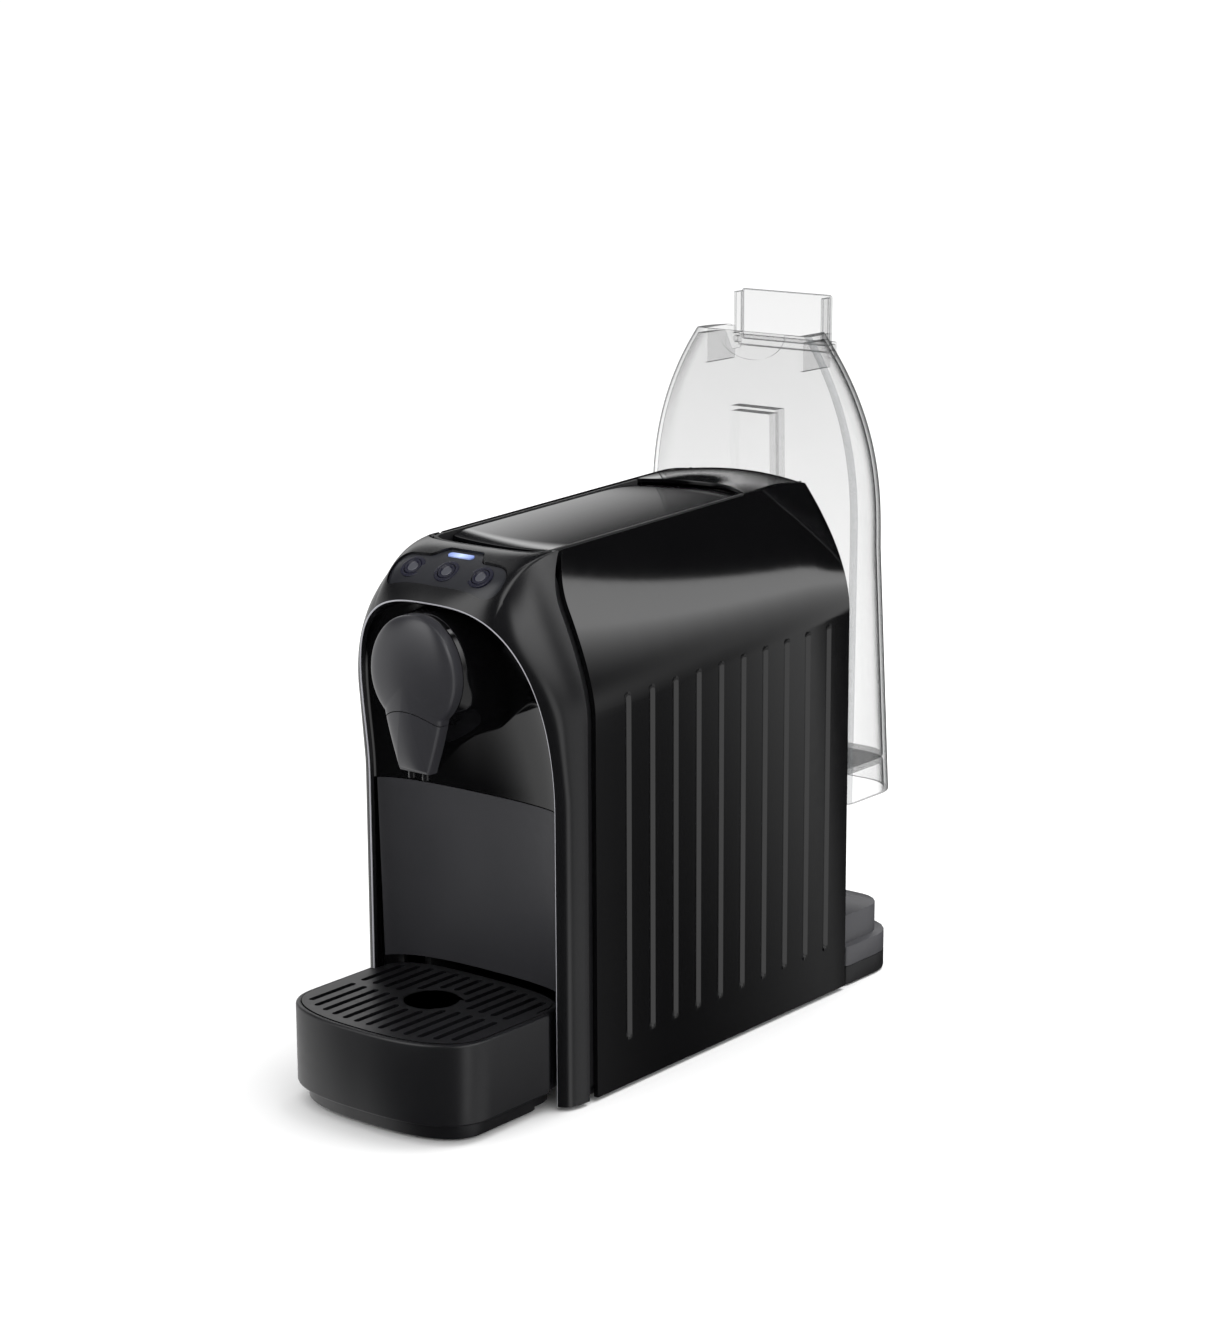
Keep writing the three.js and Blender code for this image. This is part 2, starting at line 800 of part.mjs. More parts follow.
// Rear cap: domed skin with a visor over the lever's tail
function capSurface(sink, grow) {
  return steps(2).map((i) => Array.from({ length: 9 }, (_, k) => {
    const x = mix(-deckHalf, deckHalf, k / 8);
    const y = mix(capFrontAt(x), bodyDepth, i);
    return new THREE.Vector3(x, y, crestAt(y) + grow + capDome * (1 - (x / deckHalf) ** 2) - sink);
  }));
}

// Tank outline at a height, moved inwards
function tankHalfAt(z) {
  const low = mix(tankHalfLow, tankHalfWaist, Math.min(1, (z - tankLow) / (tankWaist - tankLow)));
  return low * (1 - tankTaper * Math.max(0, (z - tankBend) / (tankTop - tankBend)) ** tankTaperPower);
}

function tankRearAt(z) {
  const low = mix(tankRearLow, tankRearWaist, Math.min(1, (z - tankLow) / (tankWaist - tankLow)));
  return low - tankRearLean * Math.max(0, (z - tankWaist) / (tankTop - tankWaist)) ** tankRearPower;
}

function tankPlan(z, distance) {
  const half = tankHalfAt(z) - distance;
  const rear = tankRearAt(z) - distance;
  const front = tankFront + distance;
  const corner = (a, b, radius, quarter, count) => steps(count).map((share) => {
    const angle = (Math.PI / 2) * (quarter + share);
    return [a + radius * Math.cos(angle), b + radius * Math.sin(angle)];
  });
  const back = tankRearRound - distance;
  const round = Math.max(tankFrontRound - distance, clear);
  return corner(half - back, rear - back, back, 0, 5).concat(corner(-half + back, rear - back, back, 1, 5),
    corner(-half + round, front + round, round, 2, 2), corner(half - round, front + round, round, 3, 2));
}

const tankRing = (z, distance) => tankPlan(z, distance).map(([a, b]) => new THREE.Vector3(a, b, z));

function tankSolid(distance, low, high, count) {
  return loft(steps(count).map((share) => tankRing(mix(low, high, Math.sin((share * Math.PI) / 2)), distance)), 'z');
}

// A prism of the tank's foot outline between two heights below it
function footPrism(distance, low, high) {
  return prism(tankPlan(tankLow, distance), low, high, 'z');
}

// Drip tray outline, moved inwards: round front, straight sides, a step at the lip and a round rear
function trayPlan(distance) {
  const front = steps(16).map((share) => {
    const [a, b] = superPoint(Math.PI * (1 + share), trayHalf - distance, trayFront - trayShoulder - distance, trayPower);
    return [a, b - trayShoulder];
  });
  const rear = steps(12).map((share) => {
    const [a, b] = superPoint(Math.PI * share, trayRearHalf - distance, trayRearDepth - distance, trayRearPower);
    return [a, b - trayRearStart];
  });
  const stop = -trayStop - distance;
  return front.concat([[trayHalf - distance, stop], [trayRearHalf - distance, stop]], rear,
    [[-trayRearHalf + distance, stop], [-trayHalf + distance, stop]]);
}

const trayPrism = (distance, low, high) => prism(trayPlan(distance), low, high, 'z');

// Edges of the drip grid's slots along one column
function gridSlots(column) {
  const x = gridPitch * column;
  const inset0 = trayWall + clear;
  const super1 = (a, b, power) => b * Math.max(0, 1 - (Math.abs(x) / a) ** power) ** (1 / power);
  const rear = super1(trayRearHalf - inset0, trayRearDepth - inset0, trayRearPower) - trayRearStart - gridRimRear;
  const front = -trayShoulder - super1(trayHalf - inset0, trayFront - trayShoulder - inset0, trayPower) + gridRim;
  const around = Math.abs(x) < gridRing ? Math.sqrt(gridRing ** 2 - x ** 2) : 0;
  const middleRear = Math.max(gridHolePlace + around, gridBridgePlace + gridBridge);
  const middleFront = Math.min(gridHolePlace - around, gridBridgePlace);
  const slot = (from, to) => prism(roundedBox(x - gridSlot / 2, x + gridSlot / 2, from, to, gridSlot / 2 - clear / 2, 1),
    trayTop - gridThick - overrun, trayTop + overrun, 'z');
  return [slot(middleRear, rear), slot(front, middleFront)];
}

// A round hose along a smooth curve through points
function hose(points) {
  const path = new THREE.CatmullRomCurve3(points.map((p) => new THREE.Vector3(...p)));
  const round = new THREE.Shape();
  round.absarc(0, 0, hoseRadius, 0, 2 * Math.PI);
  const bore = new THREE.Path();
  bore.absarc(0, 0, hoseBore, 0, 2 * Math.PI, true);
  round.holes.push(bore);
  return solid(new THREE.ExtrudeGeometry(round, { steps: 8, curveSegments: 3, bevelEnabled: false, extrudePath: path }));
}

const machine = new THREE.Group();
machine.name = 'pod_coffee_machine';

function add(name, body, material) {
  const mesh = new THREE.Mesh(geometryOf(body), material);
  mesh.name = name;
  machine.add(mesh);
}

const frameGrown = frameShell(-overrun, frameWall + clear);

// Side panels: the one on +X carries the control board's pillars
const boardFace = boardPlace + boardThick + clear;
const pillars = [boardFront + boardMargin, boardFront + boardLength - boardMargin].flatMap((y) => (
  [boardLow + boardMargin, boardLow + boardHeight - boardMargin].map((z) => (
    rod(pillarRadius, y, z, boardFace, halfWidth - panelWall / 2, 'x', 12)))));
add('side_panel_left', sidePanel(-1), glossBlack);
add('side_panel_right', joinAll([sidePanel(1)].concat(pillars)), glossBlack);

// Front frame with the control panel's opening
const padHole = prism(padOutline(0), archTop - archFoot, tankTop, 'z');
add('front_frame', frameShell(0, frameWall).subtract(padHole), satinBlack);

// Control panel with holes for the buttons and the light bar
const lightOutline = (grow) => roundedBox(-lightBarLength / 2 - grow, lightBarLength / 2 + grow,
  lightBarPlace - lightBarWidth / 2 - grow, lightBarPlace + lightBarWidth / 2 + grow, lightBarWidth / 2 - clear / 2, 3);
const padPlug = prism(padOutline(clear), archTop - archFoot, tankTop, 'z');
const padSheet = frameShell(padSink, padSink + padWall).intersect(padPlug);
const buttonSpots = { left: -buttonPitch, middle: 0, right: buttonPitch };
const buttonHoles = Object.values(buttonSpots).map((x) => (
  slopeRod(buttonRadius + clear, x, -buttonCap - buttonStemLength, buttonCap)));
const lightHole = prism(lightOutline(clear), archTop, tankTop, 'z');
add('control_panel', cutAll(padSheet, buttonHoles.concat([lightHole])), satinBlack);
add('light_bar', frameShell(padSink - lightProud, padSink + padWall).intersect(
  prism(lightOutline(0), archTop, tankTop, 'z')), whiteLight);
for (const [side, x] of Object.entries(buttonSpots)) {
  const cap = slopeRod(buttonRadius, x, -padSink - buttonCap, -padSink + buttonProud);
  const stem = slopeRod(buttonStem, x, -padSink - buttonCap - buttonStemLength, -padSink - buttonCap / 2);
  add(`button_${side}`, cap.add(stem), satinBlack);
}

// Bulkhead: a plate across the body with a rim that floors the dark channel
const rimOutline = bodyOutline(0, channelDepth, baseLow + baseThick + clear);
const rimInside = bodyOutline(0, channelDepth + bulkheadFlange, -overrun);
const bulkheadBody = prism(rimOutline, -bulkheadFront, bulkheadRear, 'y')
  .subtract(prism(rimInside, -bulkheadFront - overrun, -bulkheadWebFront, 'y'))
  .subtract(prism(rimInside, -bulkheadWebFront + bulkheadWeb, bulkheadRear + overrun, 'y'));
add('front_bulkhead', cutAll(bulkheadBody, [
  block(-containerGateHalf, containerGateHalf, -halfWidth, halfWidth, 0, seamHeight),
  block(-brewGateHalf, brewGateHalf, -halfWidth, halfWidth, brewGateLow, brewGateHigh),
  block(-deckHalf - fit * 2, deckHalf + fit * 2, -halfWidth, halfWidth, deckFloor - deckPlate - fit, tankTop),
  frameGrown,
]), mattBlack);

// Glossy niche panel above the seam, with a ledge back to the bulkhead
const nicheFront = nicheSurface(seamHeight + clear, archTop, 16, 7);
const nicheMiddle = pushedBack(nicheFront, nicheWall / 2);
const nicheSkin = shell(nicheFront, pushedBack(nicheFront, nicheWall));
const nicheMask = shell(nicheMiddle, flattened(nicheMiddle, -trayFront));
const nicheFlange = block(-nicheLedgeHalf, nicheLedgeHalf, -lipReach, -bulkheadWebFront - clear,
  seamHeight + clear, seamHeight + clear + nicheLedge).subtract(nicheMask);
const lipMask = prism(steps(12).map((share) => mix(nicheFoot, archTop + nicheTuck, share))
  .map((z) => [lipAt(0, z).y + frameWall + clear, z])
  .concat([[-trayFront, archTop + nicheTuck], [-trayFront, nicheFoot]]), -halfWidth, halfWidth, 'x');
add('niche_panel', nicheSkin.add(nicheFlange).subtract(lipMask).subtract(hoodBody(clear, hoodFront, hoodRear - overrun))
  .subtract(frameGrown), glossBlack);

// Brew head
const hoodInside = hoodBody(-hoodWall, hoodFront - hoodWall, hoodRear - overrun);
add('brew_head_hood', hoodBody(0, hoodFront, hoodRear).subtract(hoodInside)
  .subtract(rod(ductRadius + clear, 0, ductHeight, -capReach, 0, 'y')), glossBlack);
const disc = headDisc(0, spoutRear);
add('brew_head_cap', disc.subtract(headDisc(capShell, spoutRear - overrun)).subtract(spoutZone(spoutSeam, -capReach - overrun, 0)),
  satinBlack);
const spoutBody = disc.intersect(spoutZone(0, -capReach - overrun, 0));
const outlets = [-outletSpread, outletSpread].map((x) => rod(outletRadius, x, -outletPlace, outletLow, nozzleLow + overrun, 'z'));
const outletBores = [-outletSpread, outletSpread].map((x) => (
  rod(outletBore, x, -outletPlace, outletLow - overrun, ductHeight, 'z', 12)));
const spoutChannel = prism(roundedBox(-outletSpread - outletBore, outletSpread + outletBore, ductHeight - outletBore,
  ductHeight + outletBore, outletBore - clear / 2, 3), -outletPlace - outletBore, -spoutRear + overrun, 'y');
add('spout', cutAll(joinAll([spoutBody].concat(outlets)), outletBores.concat([spoutChannel])), satinBlack);
add('outlet_duct', rod(ductRadius, 0, ductHeight, -spoutRear + clear, -bulkheadWebFront + bulkheadWeb, 'y')
  .subtract(rod(ductBore, 0, ductHeight, -spoutRear, 0, 'y')), rubber);

// Top deck with the capsule chute
const deckOpen = deckBody(deckWall, deckWallRear + halfWidth, deckFloor, -overrun);
const deckUnder = block(-deckHalf + deckWall, deckHalf - deckWall, deckRear, deckWallRear + overrun, 0, tankTop);
const deckLowered = block(-halfWidth, halfWidth, deckWallDrop, deckWallRear + overrun, deckWallTop, tankTop);
const chuteBox = (grow, low, high) => block(-slotHalf - grow, slotHalf + grow, slotFront - grow, slotRear + grow, low, high);
const deckCrossBar = block(-deckHalf, deckHalf, deckWallRear - deckWall, deckWallRear, deckFloor - deckPlate, deckWallTop);
const deckSolid = deckBody(0, deckWallRear, deckFloor - deckPlate, deckCrestGap);
const pinHole = rod(pinRadius + clear, pinPlace, pinHeight, -halfWidth, halfWidth, 'x');
add('top_deck', joinAll([cutAll(deckSolid, [deckOpen, deckUnder, deckLowered]), deckCrossBar,
  chuteBox(chuteWall, deckFloor - chuteDepth, deckFloor)])
  .subtract(chuteBox(0, 0, tankTop)).subtract(pinHole), mattBlack);

// Lever, pin and rear cap
const leverPlate = shell(leverSurface(0), leverSurface(leverWall));
const leverRoom = shell(leverSurface(leverWall / 2), leverSurface(-halfWidth));
const skirtSheet = shell(leverSurface(leverWall / 2), leverSurface(leverSkirt));
const skirts = sides.map((side) => skirtSheet.intersect(block(...span(side, leverHalf - leverSkirtWall, leverHalf),
  leverFront + leverSkirtWall, pinPlace, 0, tankTop)));
const hubs = sides.map((side) => rod(hubRadius, pinPlace, pinHeight, side * (leverHalf - hubLength), side * leverHalf, 'x'));
const hubRibs = sides.map((side) => block(...span(side, leverHalf - hubLength, leverHalf),
  pinPlace - hubRadius, pinPlace + overrun, pinHeight, crestHeightRear).subtract(leverRoom));
add('lever', joinAll([leverPlate].concat(skirts, hubs, hubRibs)).subtract(
  rod(pinRadius + clear, pinPlace, pinHeight, -halfWidth, halfWidth, 'x')), glossBlack);
add('lever_pin', rod(pinRadius, pinPlace, pinHeight, -pinHalf, pinHalf, 'x'), steel);
const capSkinBody = shell(capSurface(0, 0), capSurface(capSkin, 0));
const capUnder = shell(capSurface(capSkin / 2, 0), capSurface(-halfWidth, 0));
const capRearWall = block(-deckHalf, deckHalf, bodyDepth - capSkin, bodyDepth, capWallLow, crestHeightRear)
  .subtract(capUnder);
const capSkirts = sides.map((side) => block(...span(side, deckHalf - deckWall, deckHalf),
  capFrontAt(leverHalf), bodyDepth, deckWallTop + clear, crestHeightRear).subtract(capUnder));
add('rear_cap', joinAll([capSkinBody, capRearWall].concat(capSkirts)), glossBlack);

// Back panel with the tank's guide rail
const backPlate = prism(bodyOutline(bodyDepth, backInset, baseLow + baseThick + clear), bodyDepth - backSink - backWall,
  bodyDepth - backSink, 'y');
const rail = block(-railHalf, railHalf, bodyDepth - backSink - backWall, bodyDepth - backSink + railDepth, railLow, railHigh)
  .subtract(block(-railHalf + backWall, railHalf - backWall, bodyDepth - backSink, bodyDepth - backSink + railDepth - backWall,
    railLow - overrun, railHigh - backWall));
add('back_panel', backPlate.add(rail).subtract(block(-deckHalf - fit, deckHalf + fit, 0, tankFront, capWallLow - clear, tankTop))
  .subtract(rod(hoseRadius + clear, 0, portHeight, 0, tankFront, 'y')), mattBlack);

// Brew group: plate with needles, guide, piston
const plateFront = -bulkheadWebFront + bulkheadWeb + clear;
const plateRear = plateFront + brewPlateThick;
const needles = steps(needleCount - 1).map((share) => {
  const angle = 2 * Math.PI * share * (1 - 1 / needleCount);
  return rod(needleRadius, needleRing * Math.cos(angle), headHeight + needleRing * Math.sin(angle),
    plateRear - overrun, plateRear + needleLength, 'y', 8);
});
add('brew_plate', joinAll([block(-brewPlateHalf, brewPlateHalf, plateFront, plateRear, brewPlateLow, brewPlateHigh)]
  .concat(needles)), castAluminium);
const guideFront = plateRear + clear;
const guideRear = guideFront + guideLength;
const guideBody = block(-guideHalf, guideHalf, guideFront, guideRear, headHeight - guideHeight / 2, headHeight + guideHeight / 2)
  .add(block(-guideHalf, guideHalf, guideRear - guideBar, guideRear, headHeight - guideHeight, headHeight + guideHeight));
add('brew_guide', guideBody
  .subtract(block(-guideHalf + guideRail, guideHalf - guideRail, 0, guideRear - guideBar, 0, tankTop))
  .subtract(rod(pistonRod + clear, 0, headHeight, 0, tankFront, 'y')), castAluminium);
const pistonHead = rod(chamberRadius, 0, headHeight, pistonFront, pistonFront + pistonLength, 'y', 28);
const pistonWings = block(-guideHalf + guideRail + clear, guideHalf - guideRail - clear, pistonFront + pistonLength / 2,
  pistonFront + pistonLength, headHeight - guideHeight / 2, headHeight + guideHeight / 2);
add('piston', joinAll([pistonHead, pistonWings,
  rod(pistonRod, 0, headHeight, pistonFront + pistonLength / 2, guideRear + pistonOver, 'y')]), mattBlack);

// Base plate with the container's shelf, the boiler's stand, the tongue and the rear plinth
const baseTop = baseLow + baseThick;
const shelfFront = bulkheadRear + clear;
const standTop = boilerLow - clear;
const shelves = sides.map((side) => block(side * shelfPlace - shelfWall / 2, side * shelfPlace + shelfWall / 2,
  shelfFront, shelfFront + shelfLength, baseLow, nicheFoot + clear));
const shelfTies = sides.map((side) => block(...span(side, shelfPlace, shelfTie),
  shelfFront + shelfLength - shelfWall, shelfFront + shelfLength, baseLow, nicheFoot + clear));
const stands = sides.map((side) => block(...span(side, standPlace, standPlace + standWall),
  boilerPlace - boilerDepth / 2 + standWall, boilerPlace + boilerDepth / 2 - standWall, baseLow, standTop));
const ears = sides.map((side) => block(...span(side, earInner, baseHalf), -bulkheadFront,
  shelfFront + overrun, baseLow, baseTop));
const plinth = footPrism(dockInset, plinthLow, dockLow - clear);
const feetPlaces = [-footPlaceX, footPlaceX].flatMap((x) => [[x, footPlaceFront], [x, footPlaceRear]]);
const footPockets = feetPlaces.map(([x, y]) => rod(footRadius + clear, x, y, -overrun, baseLow, 'z', 20));
const gland = (radius, from, to) => rod(radius, glandPlace, glandHeight, from, to, 'x');
add('base_plate', cutAll(joinAll([
  block(-baseHalf, baseHalf, shelfFront, tankFront + dockInset + overrun, baseLow, baseTop),
  block(-tongueHalf, tongueHalf, -tongueReach, shelfFront + overrun, baseLow, baseLow + tongueThick),
  plinth].concat(shelves, shelfTies, stands, ears)),
footPockets.concat([gland(glandRadius + clear, -halfWidth - overrun, -halfWidth + glandLength + clear),
  gland(glandBore, -halfWidth, -halfWidth + glandDuct)])), mattBlack);
add('cord_gland', gland(glandRadius, -halfWidth, -halfWidth + glandLength)
  .subtract(gland(glandBore, -halfWidth - overrun, -halfWidth + glandLength + overrun)), rubber);
feetPlaces.forEach(([x, y]) => {
  const name = `foot_${y === footPlaceFront ? 'front' : 'rear'}_${x < 0 ? 'left' : 'right'}`;
  add(name, rod(footRadius, x, y, 0, baseLow - clear, 'z', 20), rubber);
});

// Capsule container: a box behind the concave front
const containerFoot = nicheFoot + clear * 2;
const containerFace = nicheSurface(containerFoot, seamHeight - clear, 18, 3, (reach) => (lipHalf - fit) / reach);
const faceMiddle = pushedBack(containerFace, nicheWall / 2);
const containerPanel = shell(containerFace, pushedBack(containerFace, nicheWall));
const containerMask = shell(faceMiddle, flattened(faceMiddle, -trayFront));
const crate = cutAll(block(-containerHalf, containerHalf, -lipReach, containerLength, containerFoot, containerTop), [
  block(-containerHalf + containerWall, containerHalf - containerWall, containerFront + containerWall,
    containerLength - containerWall, containerFoot + containerWall, tankTop),
  block(-containerHalf + containerWall, containerHalf - containerWall, -trayFront, containerFront,
    containerFoot + containerWall, tankTop),
  containerMask,
]);
add('capsule_container', crate.add(containerPanel), mattBlack);

// Drip tray and grid
const trayBody = joinAll([trayPrism(0, trayStep, trayTop), trayPrism(trayInset, trayLow, trayStep + trayWall)]);
add('drip_tray', cutAll(trayBody, [
  trayPrism(trayWall + gridLedge, trayFloor, trayTop),
  trayPrism(trayWall, trayTop - gridThick + clear, trayTop + overrun),
  trayPrism(trayInset + trayWall, 0, baseLow + tongueThick + clear * 2),
  block(-tongueHalf - fit, tongueHalf + fit, -trayStop, 0, 0, baseLow + tongueThick + clear * 2),
]), trayGrey);
const gridPlate = trayPrism(trayWall + clear, trayTop - gridThick + clear * 2, trayTop + clear);
const gridHoleCutter = loft([circle(gridHole, 0, gridHolePlace, 24), circle(gridHole, 0, gridHolePlace, 24),
  circle(gridHole + gridChamfer, 0, gridHolePlace, 24)].map((ring, k) => ring.map(([a, b]) => (
  new THREE.Vector3(a, b, [trayTop - gridThick - overrun, trayTop + clear - gridChamfer, trayTop + clear][k])))), 'z');
const columns = steps(gridColumns - 1).map((share) => Math.round((share - 1 / 2) * (gridColumns - 1)));
add('drip_grid', cutAll(gridPlate, columns.flatMap(gridSlots).concat([gridHoleCutter])), trayGrey);

// Water tank
const tankFloorLow = tankLow + tankSkirt;
const tankFloorTop = tankFloorLow + tankFloor;
const channelProfile = (grow, top) => [[-railChannelHalfLow - grow, tankLow - grow],
  [railChannelHalfLow + grow, tankLow - grow], [railChannelHalfTop + grow, top + grow], [-railChannelHalfTop - grow, top + grow]];
const channelOuter = prism(channelProfile(tankWall, railChannelTop), tankFront, tankFront + railChannelDepth + tankWall, 'y')
  .intersect(tankSolid(0, tankLow, tankTop, tankLevels));
const channelInner = prism(channelProfile(0, railChannelTop).map(([a, b], k) => [a, k < 2 ? b - overrun : b]),
  tankFront - overrun, tankFront + railChannelDepth, 'y');
const scoop = prism(steps(16).map((share) => {
  const [a, b] = superPoint(Math.PI * (1 + share), tankScoopHalf, tankScoopDepth, 2);
  return [a, tankTop + b];
}).concat([[tankScoopHalf, tankTop + overrun], [-tankScoopHalf, tankTop + overrun]]), tankFront - overrun,
tankFront + tankScoopSink, 'y');
const mouthWalls = sides.map((side) => block(...span(side, tankMouthHalf, tankMouthHalf + tankWall),
  tankFront + tankWall / 2, tankMouthRear, tankMouthLow, tankTop - overrun));
const lidEars = sides.map((side) => prism(roundedBox(tankMouthRear - earReach, lidAxisY + lidKnuckle, lidAxisZ - earReach,
  lidAxisZ + lidKnuckle + clear, lidKnuckle - clear, 3), side * (lidHalf + earGap), side * (lidHalf + earGap + earWall), 'x'));
const tankHollow = joinAll([tankSolid(tankWall, tankFloorTop, tankTop - tankRoof, tankLevels),
  tankSolid(tankWall, tankLow - overrun, tankFloorLow, 2)]);
const tankShell = joinAll([tankSolid(0, tankLow, tankTop, tankLevels).subtract(tankHollow), channelOuter].concat(mouthWalls, lidEars));
add('water_tank', cutAll(tankShell, [channelInner, scoop,
  block(-tankMouthHalf, tankMouthHalf, tankFront + tankWall, tankMouthRear + tankWall, tankMouthLow, tankTop + overrun),
  block(-lidHalf - earGap, lidHalf + earGap, tankMouthRear - tankWall, tankRearLow, lidAxisZ - lidKnuckle - clear, tankTop + overrun),
  rod(lidPin + clear, lidAxisY, lidAxisZ, -halfWidth, halfWidth, 'x'),
  rod(valveBore, 0, valvePlace, tankLow, tankFloorTop + overrun, 'z', 24),
]), clearPlastic);

// Tank lid, drawn open
const lidPlate = block(-lidHalf, lidHalf, lidAxisY + lidRise, lidAxisY + lidRise + lidThick, lidAxisZ, lidAxisZ + lidLength);
const lidSides = sides.map((side) => block(...span(side, lidHalf - lidSkirtWall, lidHalf),
  lidAxisY + lidRise - lidSkirt, lidAxisY + lidRise + lidThick / 2, lidAxisZ + lidKnuckle + earGap, lidAxisZ + lidLength));
add('tank_lid', joinAll([lidPlate, rod(lidKnuckle, lidAxisY, lidAxisZ, -lidHalf, lidHalf, 'x'),
  rod(lidPin, lidAxisY, lidAxisZ, -lidHalf - earGap - earWall, lidHalf + earGap + earWall, 'x')].concat(lidSides)), clearPlastic);

// Tank valve, dock and seal
add('tank_valve', joinAll([
  rod(valveStem, 0, valvePlace, valveLow, tankFloorTop + clear + overrun, 'z'),
  rod(valveHead, 0, valvePlace, tankFloorTop + clear, tankFloorTop + clear + valveHeadThick, 'z', 24)]), mattBlack);
const dockBlock = footPrism(dockBlockInset, dockLedge - overrun, dockTop);
const socket = rod(socketRadius, 0, valvePlace, dockTop - socketDepth, dockTop + overrun, 'z', 24);
const railRoom = block(-railChannelHalfLow - tankWall - fit, railChannelHalfLow + tankWall + fit, 0,
  tankFront + railChannelDepth + tankWall + fit, dockLedge, tankTop);
const dockBores = [rod(hoseBore, 0, valvePlace, portHeight - hoseBore, dockTop, 'z', 12),
  rod(hoseBore, 0, portHeight, 0, valvePlace, 'y', 12)];
add('tank_dock', cutAll(footPrism(dockInset, dockLow, dockLedge).add(dockBlock), [socket, railRoom].concat(dockBores)), mattBlack);
add('dock_seal', rod(socketRadius - clear, 0, valvePlace, dockTop - socketDepth + clear, dockTop + clear * 2, 'z', 24)
  .subtract(rod(socketRadius - clear - sealWall, 0, valvePlace, 0, tankTop, 'z', 24)), rubber);

// Boiler, pump with its mounts, flow meter and control board
add('thermoblock', block(-boilerWidth / 2, boilerWidth / 2, boilerPlace - boilerDepth / 2, boilerPlace + boilerDepth / 2,
  boilerLow, boilerLow + boilerHeight), castAluminium);
add('pump', joinAll([rod(pumpRadius, pumpPlace, pumpHeight, -pumpLength / 2, pumpLength / 2, 'x', 28),
  rod(pumpNose, pumpPlace, pumpHeight, -pumpLength / 2 - pumpNoseLength, pumpLength / 2 + pumpNoseLength, 'x')]), steel);
sides.forEach((side) => {
  const [from, to] = span(side, mountPlace, mountPlace + mountWall);
  add(side < 0 ? 'pump_mount_left' : 'pump_mount_right', block(from, to, pumpPlace - mountHalf, pumpPlace + mountHalf,
    baseTop + clear, pumpHeight + mountHalf)
    .subtract(rod(pumpRadius + clear, pumpPlace, pumpHeight, -halfWidth, halfWidth, 'x', 28)), rubber);
});
add('flow_meter', rod(meterRadius, meterPlaceX, meterPlaceY, baseTop + clear, baseTop + clear + meterHeight, 'z', 24), mattBlack);
add('control_board', block(boardPlace, boardPlace + boardThick, boardFront, boardFront + boardLength, boardLow,
  boardLow + boardHeight), boardGreen);

// Hoses from the dock to the meter, the pump, the boiler and the brew group
const dockFace = tankFront + dockInset;
const meterRear = meterPlaceY + meterRadius + clear;
const meterFront = meterPlaceY - meterRadius - clear;
const noseTip = pumpLength / 2 + pumpNoseLength + clear;
const lane = (boilerPlace - boilerDepth / 2 + standWall + pumpPlace + mountHalf) / 2;
const boilerSide = boilerWidth / 2 + clear;
const boilerTop = boilerLow + boilerHeight + clear;
const railMiddle = guideHalf - guideRail / 2;
const elbow = noseTip + hoseBend / 2;
add('hose_dock', hose([[0, dockFace - clear, portHeight], [0, mix(dockFace, meterRear, 1 / 2), portHeight],
  [0, meterRear, portHeight]]), hoseClear);
add('hose_suction', hose([[0, meterFront, portHeight], [0, meterFront - hoseBend / 2, portHeight],
  [-hoseBend, lane, portHeight], [-mountPlace, lane, mix(portHeight, pumpHeight, 1 / 3)],
  [-elbow, mix(lane, pumpPlace, 1 / 2), pumpHeight - hoseBend], [-elbow, pumpPlace, pumpHeight],
  [-noseTip, pumpPlace, pumpHeight]]), hoseClear);
add('hose_pressure', hose([[noseTip, pumpPlace, pumpHeight], [elbow, pumpPlace, pumpHeight],
  [elbow, mix(pumpPlace, boilerPlace, 1 / 2), mix(pumpHeight, boilerLow, 1 / 2)],
  [boilerSide + hoseBend, boilerPlace, boilerLow + hoseBend], [boilerSide, boilerPlace, boilerLow + hoseBend]]), hoseClear);
add('hose_brew', hose([[railMiddle, boilerPlace - hoseBend, boilerTop], [railMiddle, boilerPlace - hoseBend, boilerTop + hoseBend / 2],
  [railMiddle, mix(guideRear, boilerPlace, 1 / 2), headHeight], [railMiddle, guideRear + hoseBend / 2, headHeight],
  [railMiddle, guideRear + clear, headHeight]]), hoseClear);

// The origin goes to the middle of the footprint
machine.children.forEach((mesh) => mesh.geometry.translate(0, (trayFront - tankRearLow) / 2, 0));

export default machine;
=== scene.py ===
import logging
import math
from dataclasses import dataclass, field
from enum import Enum
from typing import Sequence

import bpy
import numpy as np
from mathutils import Matrix, Vector
from mathutils.bvhtree import BVHTree


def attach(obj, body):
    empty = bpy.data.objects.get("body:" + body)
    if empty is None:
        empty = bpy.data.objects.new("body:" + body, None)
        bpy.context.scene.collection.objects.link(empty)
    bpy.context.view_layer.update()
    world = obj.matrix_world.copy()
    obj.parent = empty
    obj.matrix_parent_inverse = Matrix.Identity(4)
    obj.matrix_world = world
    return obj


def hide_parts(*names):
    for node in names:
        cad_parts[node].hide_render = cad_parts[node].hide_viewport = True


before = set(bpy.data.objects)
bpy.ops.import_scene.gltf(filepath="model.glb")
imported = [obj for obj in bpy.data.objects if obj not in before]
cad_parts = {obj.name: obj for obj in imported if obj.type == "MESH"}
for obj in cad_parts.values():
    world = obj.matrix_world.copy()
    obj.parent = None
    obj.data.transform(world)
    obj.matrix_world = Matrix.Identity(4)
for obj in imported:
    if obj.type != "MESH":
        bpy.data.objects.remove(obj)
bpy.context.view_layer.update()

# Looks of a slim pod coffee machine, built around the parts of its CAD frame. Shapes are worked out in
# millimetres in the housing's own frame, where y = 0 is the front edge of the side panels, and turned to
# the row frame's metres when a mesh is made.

ORIGIN_SHIFT = np.array([0.0, 81.0, 0.0])
MM = 0.001
